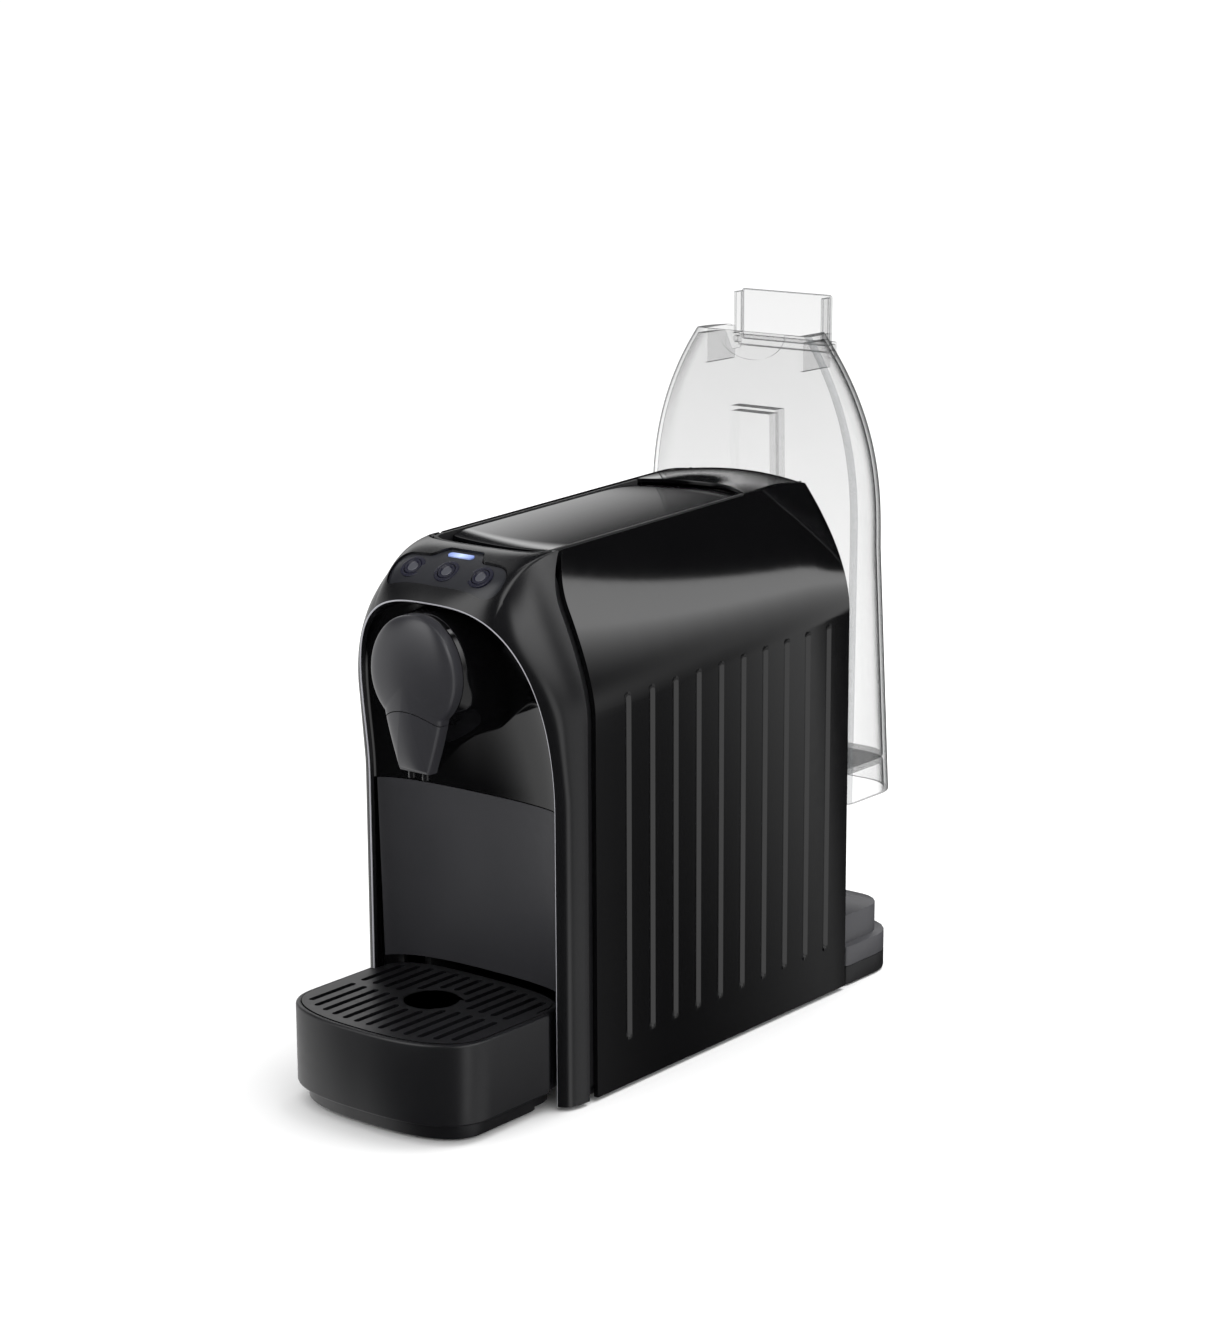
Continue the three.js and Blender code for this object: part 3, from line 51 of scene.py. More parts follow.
LOG = logging.getLogger("pod_coffee_machine")

# Heights in millimetres between which outlines in plan cut the top of the front frame.
TOP_SPAN = (200.0, 300.0)


class Body(Enum):
    """Bodies of the frame that pieces ride on."""

    MACHINE = "machine"
    LEVER = "lever"
    BUTTON_LEFT = "button_left"
    BUTTON_MIDDLE = "button_middle"
    BUTTON_RIGHT = "button_right"
    CONTAINER = "container"
    TRAY = "tray"
    GRID = "grid"
    TANK = "tank"
    LID = "lid"


class Slot(Enum):
    """Material slots of the record."""

    GLOSS_BLACK = "gloss_black"
    SATIN_BLACK = "satin_black"
    MATT_BLACK = "matt_black"
    TRAY_GREY = "tray_grey"
    CLEAR_PLASTIC = "clear_plastic"
    WHITE_LIGHT = "white_light"


# Plain maths


def mix(start: np.ndarray | float, end: np.ndarray | float,
        share: np.ndarray | float) -> np.ndarray | float:
    """Returns the value that lies the given share of the way from start to end."""
    return start + (end - start) * share


def superellipse(angle: np.ndarray, half: float, rise: float,
                 power: float) -> tuple[np.ndarray, np.ndarray]:
    """Works out points of a superellipse: half and rise times the cosine and sine, each raised to 2 / power.

    Args:
        angle: Turn from the half axis, in radians.
        half: Half axis along the first direction.
        rise: Half axis along the second direction.
        power: 2 for an ellipse, more for a squarer form.

    Returns:
        The two coordinates of each point.
    """
    c, s = np.cos(angle), np.sin(angle)
    return half * np.sign(c) * np.abs(c) ** (2 / power), rise * np.sign(s) * np.abs(s) ** (2 / power)


def rounded_box(a0: float, a1: float, b0: float, b1: float, radius: float, count: int = 8) -> np.ndarray:
    """Works out a rectangle with quarter circles at its corners.

    Args:
        a0: Low end along the first direction.
        a1: High end along the first direction.
        b0: Low end along the second direction.
        b1: High end along the second direction.
        radius: Radius of the corners.
        count: Steps in each corner.

    Returns:
        The outline as an array of points, counter-clockwise.
    """
    centres = np.array([[a1 - radius, b1 - radius], [a0 + radius, b1 - radius], [a0 + radius, b0 + radius],
                        [a1 - radius, b0 + radius]])
    turn = (np.arange(4)[:, None] + np.linspace(0, 1, count + 1)[None, :]) * math.pi / 2
    corner = np.stack([np.cos(turn), np.sin(turn)], axis=-1) * radius
    return (centres[:, None, :] + corner).reshape(-1, 2)


def circle(radius: float, a: float, b: float, count: int = 48) -> np.ndarray:
    """Returns a circle of count points round the point (a, b)."""
    turn = np.linspace(0, 2 * math.pi, count, endpoint=False)
    return np.stack([a + radius * np.cos(turn), b + radius * np.sin(turn)], axis=-1)


def bezier(start: np.ndarray, bend: np.ndarray, end: np.ndarray, share: np.ndarray) -> np.ndarray:
    """Returns points of a quadratic curve from start to end that heads for bend first."""
    return (1 - share) ** 2 * start + 2 * share * (1 - share) * bend + share ** 2 * end


def grid_normals(grid: np.ndarray, wrap: bool = False) -> np.ndarray:
    """Works out the normals of a grid as the cross product of its differences along rows and columns.

    Args:
        grid: Points in rows and columns.
        wrap: True where each row closes on itself.

    Returns:
        A unit normal for each point.
    """
    across = np.gradient(grid, axis=0)
    if wrap:
        along = (np.roll(grid, -1, axis=1) - np.roll(grid, 1, axis=1)) / 2
    else:
        along = np.gradient(grid, axis=1)
    normal = np.cross(along, across)
    return normal / np.maximum(np.linalg.norm(normal, axis=-1, keepdims=True), 1e-9)


# Solids as points and faces


@dataclass
class Solid:
    """Closed surface as points in millimetres and faces of point numbers."""

    points: np.ndarray
    faces: list[list[int]]

    def turned_out(self) -> "Solid":
        """Returns the solid with its faces pointing outwards, by the sign of its volume."""
        volume = 0.0
        for size in (3, 4):
            ring = np.array([face for face in self.faces if len(face) == size], dtype=int)
            for step in range(1, size - 1) if len(ring) else ():
                a, b, c = (self.points[ring[:, k]] for k in (0, step, step + 1))
                volume += np.einsum("ij,ij->", a, np.cross(b, c))
        if volume < 0:
            return Solid(self.points, [face[::-1] for face in self.faces])
        return self


def grid_faces(rows: int, columns: int, start: int = 0, wrap: bool = False) -> np.ndarray:
    """Numbers the four-sided faces of a grid of points.

    Args:
        rows: Rows of points.
        columns: Points in a row.
        start: Number of the first point.
        wrap: True where each row closes on itself.

    Returns:
        An array with four point numbers for each face.
    """
    row = np.arange(rows - 1)[:, None] * columns
    column = np.arange(columns if wrap else columns - 1)[None, :]
    ahead = (column + 1) % columns
    corners = [row + column, row + ahead, row + columns + ahead, row + columns + column]
    return np.stack([np.broadcast_to(corner, (rows - 1, column.shape[1])) for corner in corners],
                    axis=-1).reshape(-1, 4) + start


def plate(outer: np.ndarray, inner: np.ndarray) -> Solid:
    """Closes the space between two grids of the same size with four rims.

    Args:
        outer: Points of the outer skin in rows and columns.
        inner: Points of the inner skin, matching them.

    Returns:
        The closed solid.
    """
    rows, columns = outer.shape[:2]
    under = rows * columns
    number = np.arange(under).reshape(rows, columns)
    border = np.concatenate([number[0, :], number[1:, -1], number[-1, -2::-1], number[-2:0:-1, 0]])
    ahead = np.roll(border, -1)
    rim = np.stack([border, border + under, ahead + under, ahead], axis=-1)
    faces = np.concatenate([grid_faces(rows, columns), grid_faces(rows, columns, under)[:, ::-1], rim])
    points = np.concatenate([outer.reshape(-1, 3), inner.reshape(-1, 3)])
    return Solid(points, faces.tolist()).turned_out()


def loft(rings: np.ndarray, domed: bool = False) -> Solid:
    """Joins closed rings in order and closes both ends.

    Args:
        rings: Rings of points with equal numbers of points.
        domed: True to close the ends with fans round their middle, False for flat faces.

    Returns:
        The closed solid.
    """
    count, around = rings.shape[:2]
    points = rings.reshape(-1, 3)
    faces = grid_faces(count, around, wrap=True).tolist()
    first = list(range(around))
    last = [(count - 1) * around + k for k in range(around)]
    if domed:
        points = np.concatenate([points, rings[0].mean(axis=0)[None], rings[-1].mean(axis=0)[None]])
        low, high = count * around, count * around + 1
        faces += [[low, b, a] for a, b in zip(first, first[1:] + first[:1])]
        faces += [[high, a, b] for a, b in zip(last, last[1:] + last[:1])]
    else:
        faces += [first[::-1], last]
    return Solid(points, faces).turned_out()


class Axis(Enum):
    """Direction that a prism runs along."""

    X = 0
    Y = 1
    Z = 2


def placed(outline: np.ndarray, height: float, axis: Axis) -> np.ndarray:
    """Returns a flat outline as points at one place along an axis."""
    return np.insert(outline, axis.value, height, axis=1)


def prism(outline: np.ndarray, low: float, high: float, axis: Axis) -> Solid:
    """Returns the straight solid between two places along an axis, with a flat outline."""
    return loft(np.stack([placed(outline, low, axis), placed(outline, high, axis)]))


def block(x: Sequence[float], y: Sequence[float], z: Sequence[float]) -> Solid:
    """Returns a plain box between two places along each axis."""
    return prism(np.array([[x[0], y[0]], [x[1], y[0]], [x[1], y[1]], [x[0], y[1]]], dtype=float),
                 z[0], z[1], Axis.Z)


def ring_tube(outer: float, inner: float, a: float, b: float, low: float, high: float, axis: Axis) -> Solid:
    """Works out a straight tube as a profile that runs up the outside and down the bore, and closes on
    itself.

    Args:
        outer: Outer radius.
        inner: Radius of the bore.
        a: Place of the middle along the first direction across.
        b: Place of the middle along the second direction across.
        low: Low end along the axis.
        high: High end along the axis.
        axis: Direction that the tube runs along.

    Returns:
        The closed solid.
    """
    profile = [(outer, low), (outer, high), (inner, high), (inner, low)]
    rings = np.stack([placed(circle(radius, a, b), place, axis) for radius, place in profile])
    count, around = rings.shape[:2]
    faces = grid_faces(count, around, wrap=True)
    closing = np.stack([np.arange(around) + (count - 1) * around,
                        (np.arange(around) + 1) % around + (count - 1) * around,
                        (np.arange(around) + 1) % around, np.arange(around)], axis=-1)
    return Solid(rings.reshape(-1, 3), np.concatenate([faces, closing]).tolist()).turned_out()


# Meshes and pieces


def mesh_of(name: str, solids: Sequence[Solid]) -> bpy.types.Mesh:
    """Turns solids into one mesh in the row frame's metres.

    Args:
        name: Name of the mesh.
        solids: Solids in millimetres of the housing's frame.

    Returns:
        The new mesh.
    """
    points: list[np.ndarray] = []
    faces: list[list[int]] = []
    start = 0
    for solid in solids:
        points.append((solid.points - ORIGIN_SHIFT) * MM)
        faces += (solid.faces if start == 0 else [[number + start for number in face]
                                                  for face in solid.faces])
        start += len(solid.points)
    mesh = bpy.data.meshes.new(name)
    mesh.from_pydata(np.concatenate(points).tolist(), [], faces)
    mesh.update()
    return mesh


def smooth(mesh: bpy.types.Mesh, crisp: float) -> None:
    """Shades a mesh smooth, with edges sharper than an angle in degrees left crisp."""
    mesh.shade_smooth()
    mesh.set_sharp_from_angle(angle=math.radians(crisp))


def settle(piece: bpy.types.Object) -> None:
    """Puts the result of a piece's modifiers into its mesh and removes them."""
    bpy.context.view_layer.update()
    shaped = piece.evaluated_get(bpy.context.evaluated_depsgraph_get())
    mesh = bpy.data.meshes.new_from_object(shaped)
    piece.modifiers.clear()
    piece.data = mesh


class Cut(Enum):
    """Ways to combine a piece with other solids."""

    TAKE_OFF = "DIFFERENCE"
    KEEP_COMMON = "INTERSECT"
    ADD = "UNION"


def combine(piece: bpy.types.Object, solids: Sequence[Solid], way: Cut) -> None:
    """Combines a piece's mesh with solids, in one step.

    Args:
        piece: Piece whose mesh is replaced by the result.
        solids: Solids that don't meet each other.
        way: How they are combined.
    """
    tool = bpy.data.objects.new("tool", mesh_of("tool", solids))
    bpy.context.scene.collection.objects.link(tool)
    cut = piece.modifiers.new("cut", "BOOLEAN")
    cut.operation = way.value
    cut.object = tool
    cut.solver = "MANIFOLD"
    settle(piece)
    bpy.data.objects.remove(tool)


def raw_piece(name: str, solids: Sequence[Solid]) -> bpy.types.Object:
    """Returns a new linked object with the solids as its mesh."""
    piece = bpy.data.objects.new(name, mesh_of(name, solids))
    bpy.context.scene.collection.objects.link(piece)
    return piece


def mark_edges(mesh: bpy.types.Mesh, line: np.ndarray, reach: float = 0.02) -> None:
    """Marks the edges of a mesh whose two ends both lie on points of a line, for rounding.

    Args:
        mesh: Mesh in the row frame's metres.
        line: Points in millimetres of the housing's frame.
        reach: Greatest distance in millimetres.
    """
    points = np.empty(len(mesh.vertices) * 3)
    mesh.vertices.foreach_get("co", points)
    points = points.reshape(-1, 3) / MM + ORIGIN_SHIFT
    near = np.linalg.norm(points[:, None, :] - line[None, :, :], axis=-1).min(axis=1) < reach
    ends = np.empty(len(mesh.edges) * 2, dtype=int)
    mesh.edges.foreach_get("vertices", ends)
    marks = near[ends.reshape(-1, 2)].all(axis=1)
    mesh.attributes.new("bevel_weight_edge", "FLOAT", "EDGE").data.foreach_set("value", marks.astype(float))


def round_edges(piece: bpy.types.Object, radius: float, steps: int = 3, crisp: float = 40.0, slot: int = -1,
                marked: bool = False) -> None:
    """Rounds the edges of a piece that are sharper than an angle, or those that are marked.

    Args:
        piece: Piece to finish.
        radius: Width of the rounding, in millimetres.
        steps: Faces across the rounding.
        crisp: Angle in degrees from which an edge is rounded.
        slot: Number of the material that the roundings get, -1 for that of the faces beside them.
        marked: True to round the marked edges only.
    """
    bevel = piece.modifiers.new("rounded edges", "BEVEL")
    bevel.width = radius * MM
    bevel.segments = steps
    bevel.limit_method = "WEIGHT" if marked else "ANGLE"
    bevel.angle_limit = math.radians(crisp)
    bevel.use_clamp_overlap = True
    bevel.material = slot
    bevel.harden_normals = True
    bevel.miter_outer = "MITER_ARC"


def dress(piece: bpy.types.Object, material: bpy.types.Material, body: Body,
          nodes: Sequence[str] = (),
          crisp: float = 35.0) -> bpy.types.Object:
    """Finishes a new piece: shading, material and body, and hides the CAD nodes that it stands for.

    Args:
        piece: The new piece.
        material: Its material.
        body: Body that it rides on.
        nodes: CAD nodes that it stands for.
        crisp: Angle in degrees from which an edge stays crisp.

    Returns:
        The piece.
    """
    smooth(piece.data, crisp)
    piece.data.materials.clear()
    piece.data.materials.append(material)
    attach(piece, body.value)
    if nodes:
        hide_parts(*nodes)
    LOG.info("%s: %d faces, body %s", piece.name, len(piece.data.polygons), body.value)
    return piece


def dress_node(node: str, material: bpy.types.Material, radius: float = 0.4) -> None:
    """Gives a CAD node its material, and roundings at its edges.

    Args:
        node: Name of the CAD node.
        material: Its material.
        radius: Width of the roundings in millimetres, zero for none.
    """
    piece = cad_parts[node]
    piece.data.materials.clear()
    piece.data.materials.append(material)
    piece.data.polygons.foreach_set("use_smooth", np.ones(len(piece.data.polygons), dtype=bool))
    weld = piece.modifiers.new("joined corners", "WELD")
    weld.merge_threshold = 0.005 * MM
    if radius:
        round_edges(piece, radius, 2, 30.0)
    LOG.info("%s: node dressed", node)


# Materials


def linear(hex_colour: str) -> tuple[float, float, float, float]:
    """Turns an sRGB colour such as "0b0b0c" into the linear colour that Blender's sockets take."""
    parts = [int(hex_colour[k:k + 2], 16) / 255 for k in (0, 2, 4)]
    flat = [part / 12.92 if part <= 0.04045 else ((part + 0.055) / 1.055) ** 2.4 for part in parts]
    return flat[0], flat[1], flat[2], 1.0


def add_node(tree: bpy.types.NodeTree, kind: str, settings: dict | None = None,
             links: dict | None = None) -> bpy.types.Node:
    """Adds a node with its settings and links.

    Args:
        tree: Tree that the node joins.
        kind: Blender's name of the node's type.
        settings: Values by the name of a property, or by the name or number of an input.
        links: Output sockets by the name or number of the input that they feed.

    Returns:
        The new node.
    """
    node = tree.nodes.new(kind)
    for key, value in (settings or {}).items():
        if isinstance(key, str) and key[0].islower():
            setattr(node, key, value)
        else:
            node.inputs[key].default_value = value
    for key, source in (links or {}).items():
        tree.links.new(source, node.inputs[key])
    return node


def waves_per_metre(size: float) -> float:
    """Returns the scale that gives a pattern features of a size in millimetres."""
    return 1 / (size * MM)


def new_material(name: str) -> tuple[bpy.types.Material, bpy.types.NodeTree, bpy.types.NodeSocket]:
    """Makes an empty node material.

    Args:
        name: Name of the material.

    Returns:
        The material, its tree, and the Object coordinates that its patterns read.
    """
    material = bpy.data.materials.new(name)
    material.use_nodes = True
    tree = material.node_tree
    tree.nodes.clear()
    place = add_node(tree, "ShaderNodeTexCoord").outputs["Object"]
    return material, tree, place


@dataclass(frozen=True)
class MouldedPlastic:
    """Injection-moulded ABS. The mould's surface gives the eye its gloss or its fine grain, and long
    soft waves in the reflections come from the wall's uneven cooling."""

    name: str
    colour: str
    lighter: str
    roughness: float
    roughness_spread: float
    grain: float
    grain_depth: float
    wave: float = 26.0
    wave_depth: float = 0.004
    ior: float = 1.53

    def make(self) -> bpy.types.Material:
        """Returns the material: two tones in soft clouds, roughness in fine clouds, and grain over long
        waves."""
        material, tree, place = new_material(self.name)
        clouds = add_node(tree, "ShaderNodeTexNoise", {"Scale": waves_per_metre(self.wave), "Detail": 3.0},
                          {"Vector": place})
        tone = add_node(tree, "ShaderNodeMix", {"data_type": "RGBA", 6: linear(self.colour),
                                                7: linear(self.lighter)},
                        {0: clouds.outputs[0]})
        # Real mould grain is about 0.1 mm wide, too fine to show in the render, so it is drawn at
        # about 1 mm.
        fine = add_node(tree, "ShaderNodeTexNoise", {"Scale": waves_per_metre(self.grain * 6),
                                                     "Detail": 5.0},
                        {"Vector": place})
        rough = add_node(tree, "ShaderNodeMapRange", {"To Min": self.roughness - self.roughness_spread,
                                                      "To Max": self.roughness + self.roughness_spread},
                         {"Value": fine.outputs[0]})
        grain = add_node(tree, "ShaderNodeTexNoise", {"Scale": waves_per_metre(self.grain), "Detail": 2.0},
                         {"Vector": place})
        waves = add_node(tree, "ShaderNodeBump", {"Distance": self.wave_depth * MM, "Strength": 0.6},
                         {"Height": clouds.outputs[0]})
        bumps = add_node(tree, "ShaderNodeBump", {"Distance": self.grain_depth * MM, "Strength": 1.0},
                         {"Height": grain.outputs[0], "Normal": waves.outputs[0]})
        shader = add_node(tree, "ShaderNodeBsdfPrincipled", {"IOR": self.ior},
                          {"Base Color": tone.outputs[2], "Roughness": rough.outputs[0],
                           "Normal": bumps.outputs[0]})
        add_node(tree, "ShaderNodeOutputMaterial", None, {"Surface": shader.outputs[0]})
        return material


@dataclass(frozen=True)
class ClearPlastic:
    """Clear moulded SAN. Its walls hardly show where they are seen square on and turn grey where they
    are seen along their length, and the mould leaves soft waves in them."""

    name: str
    tint: str
    edge: str
    thin: float
    thick: float
    roughness: float
    onset: float = 0.5
    wave: float = 30.0
    wave_depth: float = 0.03
    ior: float = 1.57

    def make(self) -> bpy.types.Material:
        """Returns the material: its cover and its grey both rise towards grazing sight, over long soft
        waves."""
        material, tree, place = new_material(self.name)
        clouds = add_node(tree, "ShaderNodeTexNoise", {"Scale": waves_per_metre(self.wave), "Detail": 2.0},
                          {"Vector": place})
        bumps = add_node(tree, "ShaderNodeBump", {"Distance": self.wave_depth * MM, "Strength": 0.5},
                         {"Height": clouds.outputs[0]})
        facing = add_node(tree, "ShaderNodeLayerWeight", {"Blend": 0.5}, {"Normal": bumps.outputs[0]})
        grazing = add_node(tree, "ShaderNodeMapRange", {"interpolation_type": "SMOOTHSTEP",
                                                        "From Min": self.onset},
                           {"Value": facing.outputs["Facing"]})
        cover = add_node(tree, "ShaderNodeMapRange", {"To Min": self.thin, "To Max": self.thick},
                         {"Value": grazing.outputs[0]})
        tone = add_node(tree, "ShaderNodeMix", {"data_type": "RGBA", 6: linear(self.tint),
                                                7: linear(self.edge)},
                        {0: grazing.outputs[0]})
        shader = add_node(tree, "ShaderNodeBsdfPrincipled", {"IOR": self.ior, "Roughness": self.roughness},
                          {"Base Color": tone.outputs[2], "Alpha": cover.outputs[0],
                           "Normal": bumps.outputs[0]})
        add_node(tree, "ShaderNodeOutputMaterial", None, {"Surface": shader.outputs[0]})
        return material


@dataclass(frozen=True)
class Metal:
    """Plain metal. Drawing or casting leaves fine marks that spread the light, stretched along one
    direction where the piece was drawn."""

    name: str
    colour: str
    darker: str
    roughness: float
    mark: float
    stretch: tuple[float, float, float] = (1.0, 1.0, 1.0)
    mark_depth: float = 0.02

    def make(self) -> bpy.types.Material:
        """Returns the material: marks as stretched noise that varies tone, roughness and height."""
        material, tree, place = new_material(self.name)
        # Drawing and casting marks are a tenth of a millimetre wide, too fine to show, so they are drawn
        # coarser.
        turned = add_node(tree, "ShaderNodeMapping", {"Scale": self.stretch}, {"Vector": place})
        marks = add_node(tree, "ShaderNodeTexNoise", {"Scale": waves_per_metre(self.mark), "Detail": 4.0},
                         {"Vector": turned.outputs[0]})
        tone = add_node(tree, "ShaderNodeMix", {"data_type": "RGBA", 6: linear(self.darker),
                                                7: linear(self.colour)},
                        {0: marks.outputs[0]})
        rough = add_node(tree, "ShaderNodeMapRange", {"To Min": self.roughness * 0.7,
                                                      "To Max": self.roughness * 1.3},
                         {"Value": marks.outputs[0]})
        bumps = add_node(tree, "ShaderNodeBump", {"Distance": self.mark_depth * MM},
                         {"Height": marks.outputs[0]})
        shader = add_node(tree, "ShaderNodeBsdfPrincipled", {"Metallic": 1.0},
                          {"Base Color": tone.outputs[2], "Roughness": rough.outputs[0],
                           "Normal": bumps.outputs[0]})
        add_node(tree, "ShaderNodeOutputMaterial", None, {"Surface": shader.outputs[0]})
        return material


@dataclass(frozen=True)
class Diffuser:
    """Frosted polycarbonate over white diodes. It glows evenly, a little stronger over the middle."""

    name: str
    colour: str
    edge: str
    strength: float
    reach: float

    def make(self) -> bpy.types.Material:
        """Returns the material: the glow falls off with the distance from the bar's middle."""
        material, tree, place = new_material(self.name)
        parts = add_node(tree, "ShaderNodeSeparateXYZ", None, {"Vector": place})
        away = add_node(tree, "ShaderNodeMath", {"operation": "ABSOLUTE"}, {0: parts.outputs["X"]})
        share = add_node(tree, "ShaderNodeMapRange", {"From Max": self.reach * MM},
                         {"Value": away.outputs[0]})
        tone = add_node(tree, "ShaderNodeMix", {"data_type": "RGBA", 6: linear(self.colour),
                                                7: linear(self.edge)},
                        {0: share.outputs[0]})
        shader = add_node(tree, "ShaderNodeBsdfPrincipled",
                          {"Roughness": 0.4, "Emission Strength": self.strength},
                          {"Base Color": tone.outputs[2], "Emission Color": tone.outputs[2]})
        add_node(tree, "ShaderNodeOutputMaterial", None, {"Surface": shader.outputs[0]})
        return material


def made(recipe: MouldedPlastic | ClearPlastic | Metal | Diffuser) -> bpy.types.Material:
    """Returns a dataclass field that holds the recipe's material once the finishes are set up."""
    return field(default_factory=recipe.make)


@dataclass(frozen=True)
class Finishes:
    """Every finish of the machine, made once."""

    # Moulded against polished steel, it mirrors the studio almost sharply.
    polished: bpy.types.Material = made(MouldedPlastic(
        "polished black ABS", "050506", "080809", 0.05, 0.012, 1.2, 0.0004))
    # The same polish, worn a little softer by hands, draws the card out into a long gradient.
    lever: bpy.types.Material = made(MouldedPlastic(
        "polished black ABS of the lever", "08080a", "0c0c0e", 0.11, 0.02, 0.9, 0.001))
    # A blasted mould spreads the cards into wide soft bands on the front frame.
    satin: bpy.types.Material = made(MouldedPlastic(
        "satin black ABS", "0d0d0f", "121214", 0.25, 0.03, 0.8, 0.003))
    # The lip's rounding is painted pale: a painted highlight that stands in for the light its edge catches
    # as a thin line.
    lip: bpy.types.Material = made(MouldedPlastic(
        "satin ABS painted pale as a highlight", "a6a6ac", "b0b0b6", 0.2, 0.03, 0.8, 0.002))
    # A blasted mould and a slightly greyer batch let the head's cap stand out from the black behind it.
    head: bpy.types.Material = made(MouldedPlastic(
        "satin black ABS of the head", "29292c", "2e2e32", 0.3, 0.03, 0.8, 0.004))
    # A fine-grained mould takes the gloss away and leaves an even dark face.
    matt: bpy.types.Material = made(MouldedPlastic(
        "fine-grained black ABS", "151517", "1b1b1d", 0.5, 0.05, 0.8, 0.016))
    # A spark-eroded mould gives the tray and its grid a dry, slightly silky grey.
    tray: bpy.types.Material = made(MouldedPlastic(
        "spark-eroded grey ABS", "101013", "151518", 0.36, 0.04, 0.8, 0.01))
    # Clear moulded walls almost vanish square on and grey towards their edges.
    clear: bpy.types.Material = made(ClearPlastic(
        "clear SAN", "1e2022", "1c1e20", 0.11, 0.9, 0.05, onset=0.36))
    # Rounded edges and the tank's front corners are painted grey: painted shade that stands in for the light
    # the thick plastic bends away there.
    clear_painted_edge_shade: bpy.types.Material = made(ClearPlastic(
        "clear SAN with painted edge shade", "505558", "1c1e20", 0.45, 0.95, 0.08, onset=0.2))
    # Frosted plastic over the diodes turns them into one even pale blue bar.
    glow: bpy.types.Material = made(Diffuser(
        "lit polycarbonate", "b0c1ee", "6075b4", 0.2, 8.0))
    # A fine grain on the container's face spreads the light into one soft gradient.
    face: bpy.types.Material = made(MouldedPlastic(
        "fine-grained black ABS of the container", "2b2b2f", "313135", 0.45, 0.05, 0.8, 0.012))
    # The panel is moulded in a bluish batch that sets it off from the frame.
    pad: bpy.types.Material = made(MouldedPlastic(
        "satin blue-black ABS", "1b1c21", "202126", 0.3, 0.03, 0.8, 0.004))
    # Tinted plastic makes the buttons look deep and dark.
    ring: bpy.types.Material = made(MouldedPlastic(
        "tinted polycarbonate", "0d0d1c", "121226", 0.22, 0.03, 0.8, 0.002))
    # A satin middle catches the light in each button.
    centre: bpy.types.Material = made(MouldedPlastic(
        "satin grey polycarbonate", "3c3d44", "44454c", 0.32, 0.03, 0.8, 0.004))
    # A grey fine-grained moulding shows paler than the body behind the tank.
    dock: bpy.types.Material = made(MouldedPlastic(
        "fine-grained grey ABS", "454548", "4b4b4e", 0.4, 0.05, 0.8, 0.012))
    # Cast rubber swallows nearly all gloss.
    rubber: bpy.types.Material = made(MouldedPlastic(
        "black silicone rubber", "121213", "191919", 0.7, 0.08, 1.5, 0.03))
    # Drawn along its length, it spreads highlights across the drawing marks.
    steel: bpy.types.Material = made(Metal(
        "drawn stainless steel", "c4c6c8", "9a9c9f", 0.3, 1.0, (0.05, 1.0, 1.0)))
    # A cast skin is rough and scatters the light evenly.
    cast: bpy.types.Material = made(Metal(
        "cast aluminium", "b4b6b8", "8c8f92", 0.5, 2.0))
    # Lacquer over green laminate leaves a soft sheen with cloudy green below.
    laminate: bpy.types.Material = made(MouldedPlastic(
        "green lacquered laminate", "1d5a36", "2f7a4c", 0.4, 0.08, 3.0, 0.02))
    # Extruded silicone is milky and smooth.
    silicone: bpy.types.Material = made(MouldedPlastic(
        "milky silicone tube", "cfcfc8", "dededa", 0.45, 0.05, 2.0, 0.01))


# Housing


@dataclass(frozen=True)
class Housing:
    """Section of the housing across the machine: upright walls, shoulders and crests."""

    half: float = 65.0
    depth: float = 203.0
    crest_half: float = 36.8
    crest_front: float = 258.6
    crest_rear: float = 266.0
    foot_front: float = 184.0
    foot_rear: float = 200.0
    bend_front: float = 208.0
    bend_rear: float = 228.0
    panel_foot: float = 2.0
    setback: float = 11.0
    fall_start: float = 176.0
    fall: float = 3.0
    sweep_foot: float = 234.0
    channel: float = 6.0
    channel_top: float = 2.5

    def crest(self, y: np.ndarray | float) -> np.ndarray | float:
        """Returns the crest's height at a depth: it climbs to the rear and rounds off at its end."""
        run = np.asarray(y)
        off = self.fall * np.maximum(0, (run - self.fall_start) / (self.depth - self.fall_start)) ** 2
        return mix(self.crest_front, self.crest_rear, run / self.depth) - off

    def shoulder(self, y: np.ndarray | float, share: np.ndarray) -> tuple[np.ndarray, np.ndarray]:
        """Works out the shoulder as a quadratic curve from the wall to the crest.

        Args:
            y: Depth.
            share: Share of the way from the wall to the crest.

        Returns:
            x and z of each point.
        """
        run = np.asarray(y) / self.depth
        x = bezier(self.half, self.half, self.crest_half, share)
        z = bezier(mix(self.foot_front, self.foot_rear, run), mix(self.bend_front, self.bend_rear, run),
                   self.crest(y), share)
        return x, z

    def width_at(self, y: np.ndarray, z: np.ndarray) -> np.ndarray:
        """Works out the wall's x at a depth and height, by solving the shoulder's curve for its share."""
        run = y / self.depth
        foot = mix(self.foot_front, self.foot_rear, run)
        bend = mix(self.bend_front, self.bend_rear, run)
        a = self.crest(y) - 2 * bend + foot
        b = 2 * (bend - foot)
        c = foot - np.maximum(z, foot)
        share = (-b + np.sqrt(np.maximum(b * b - 4 * a * c, 0))) / (2 * a)
        return bezier(self.half, self.half, self.crest_half, np.clip(share, 0, 1))

    def sweep(self, z: np.ndarray | float) -> np.ndarray:
        """Returns how far the top front corner is swept back at a height, from 0 to 1."""
        return np.maximum(0, (np.asarray(z) - self.sweep_foot) / (self.crest_front - self.sweep_foot)) ** 2


HOUSING = Housing()


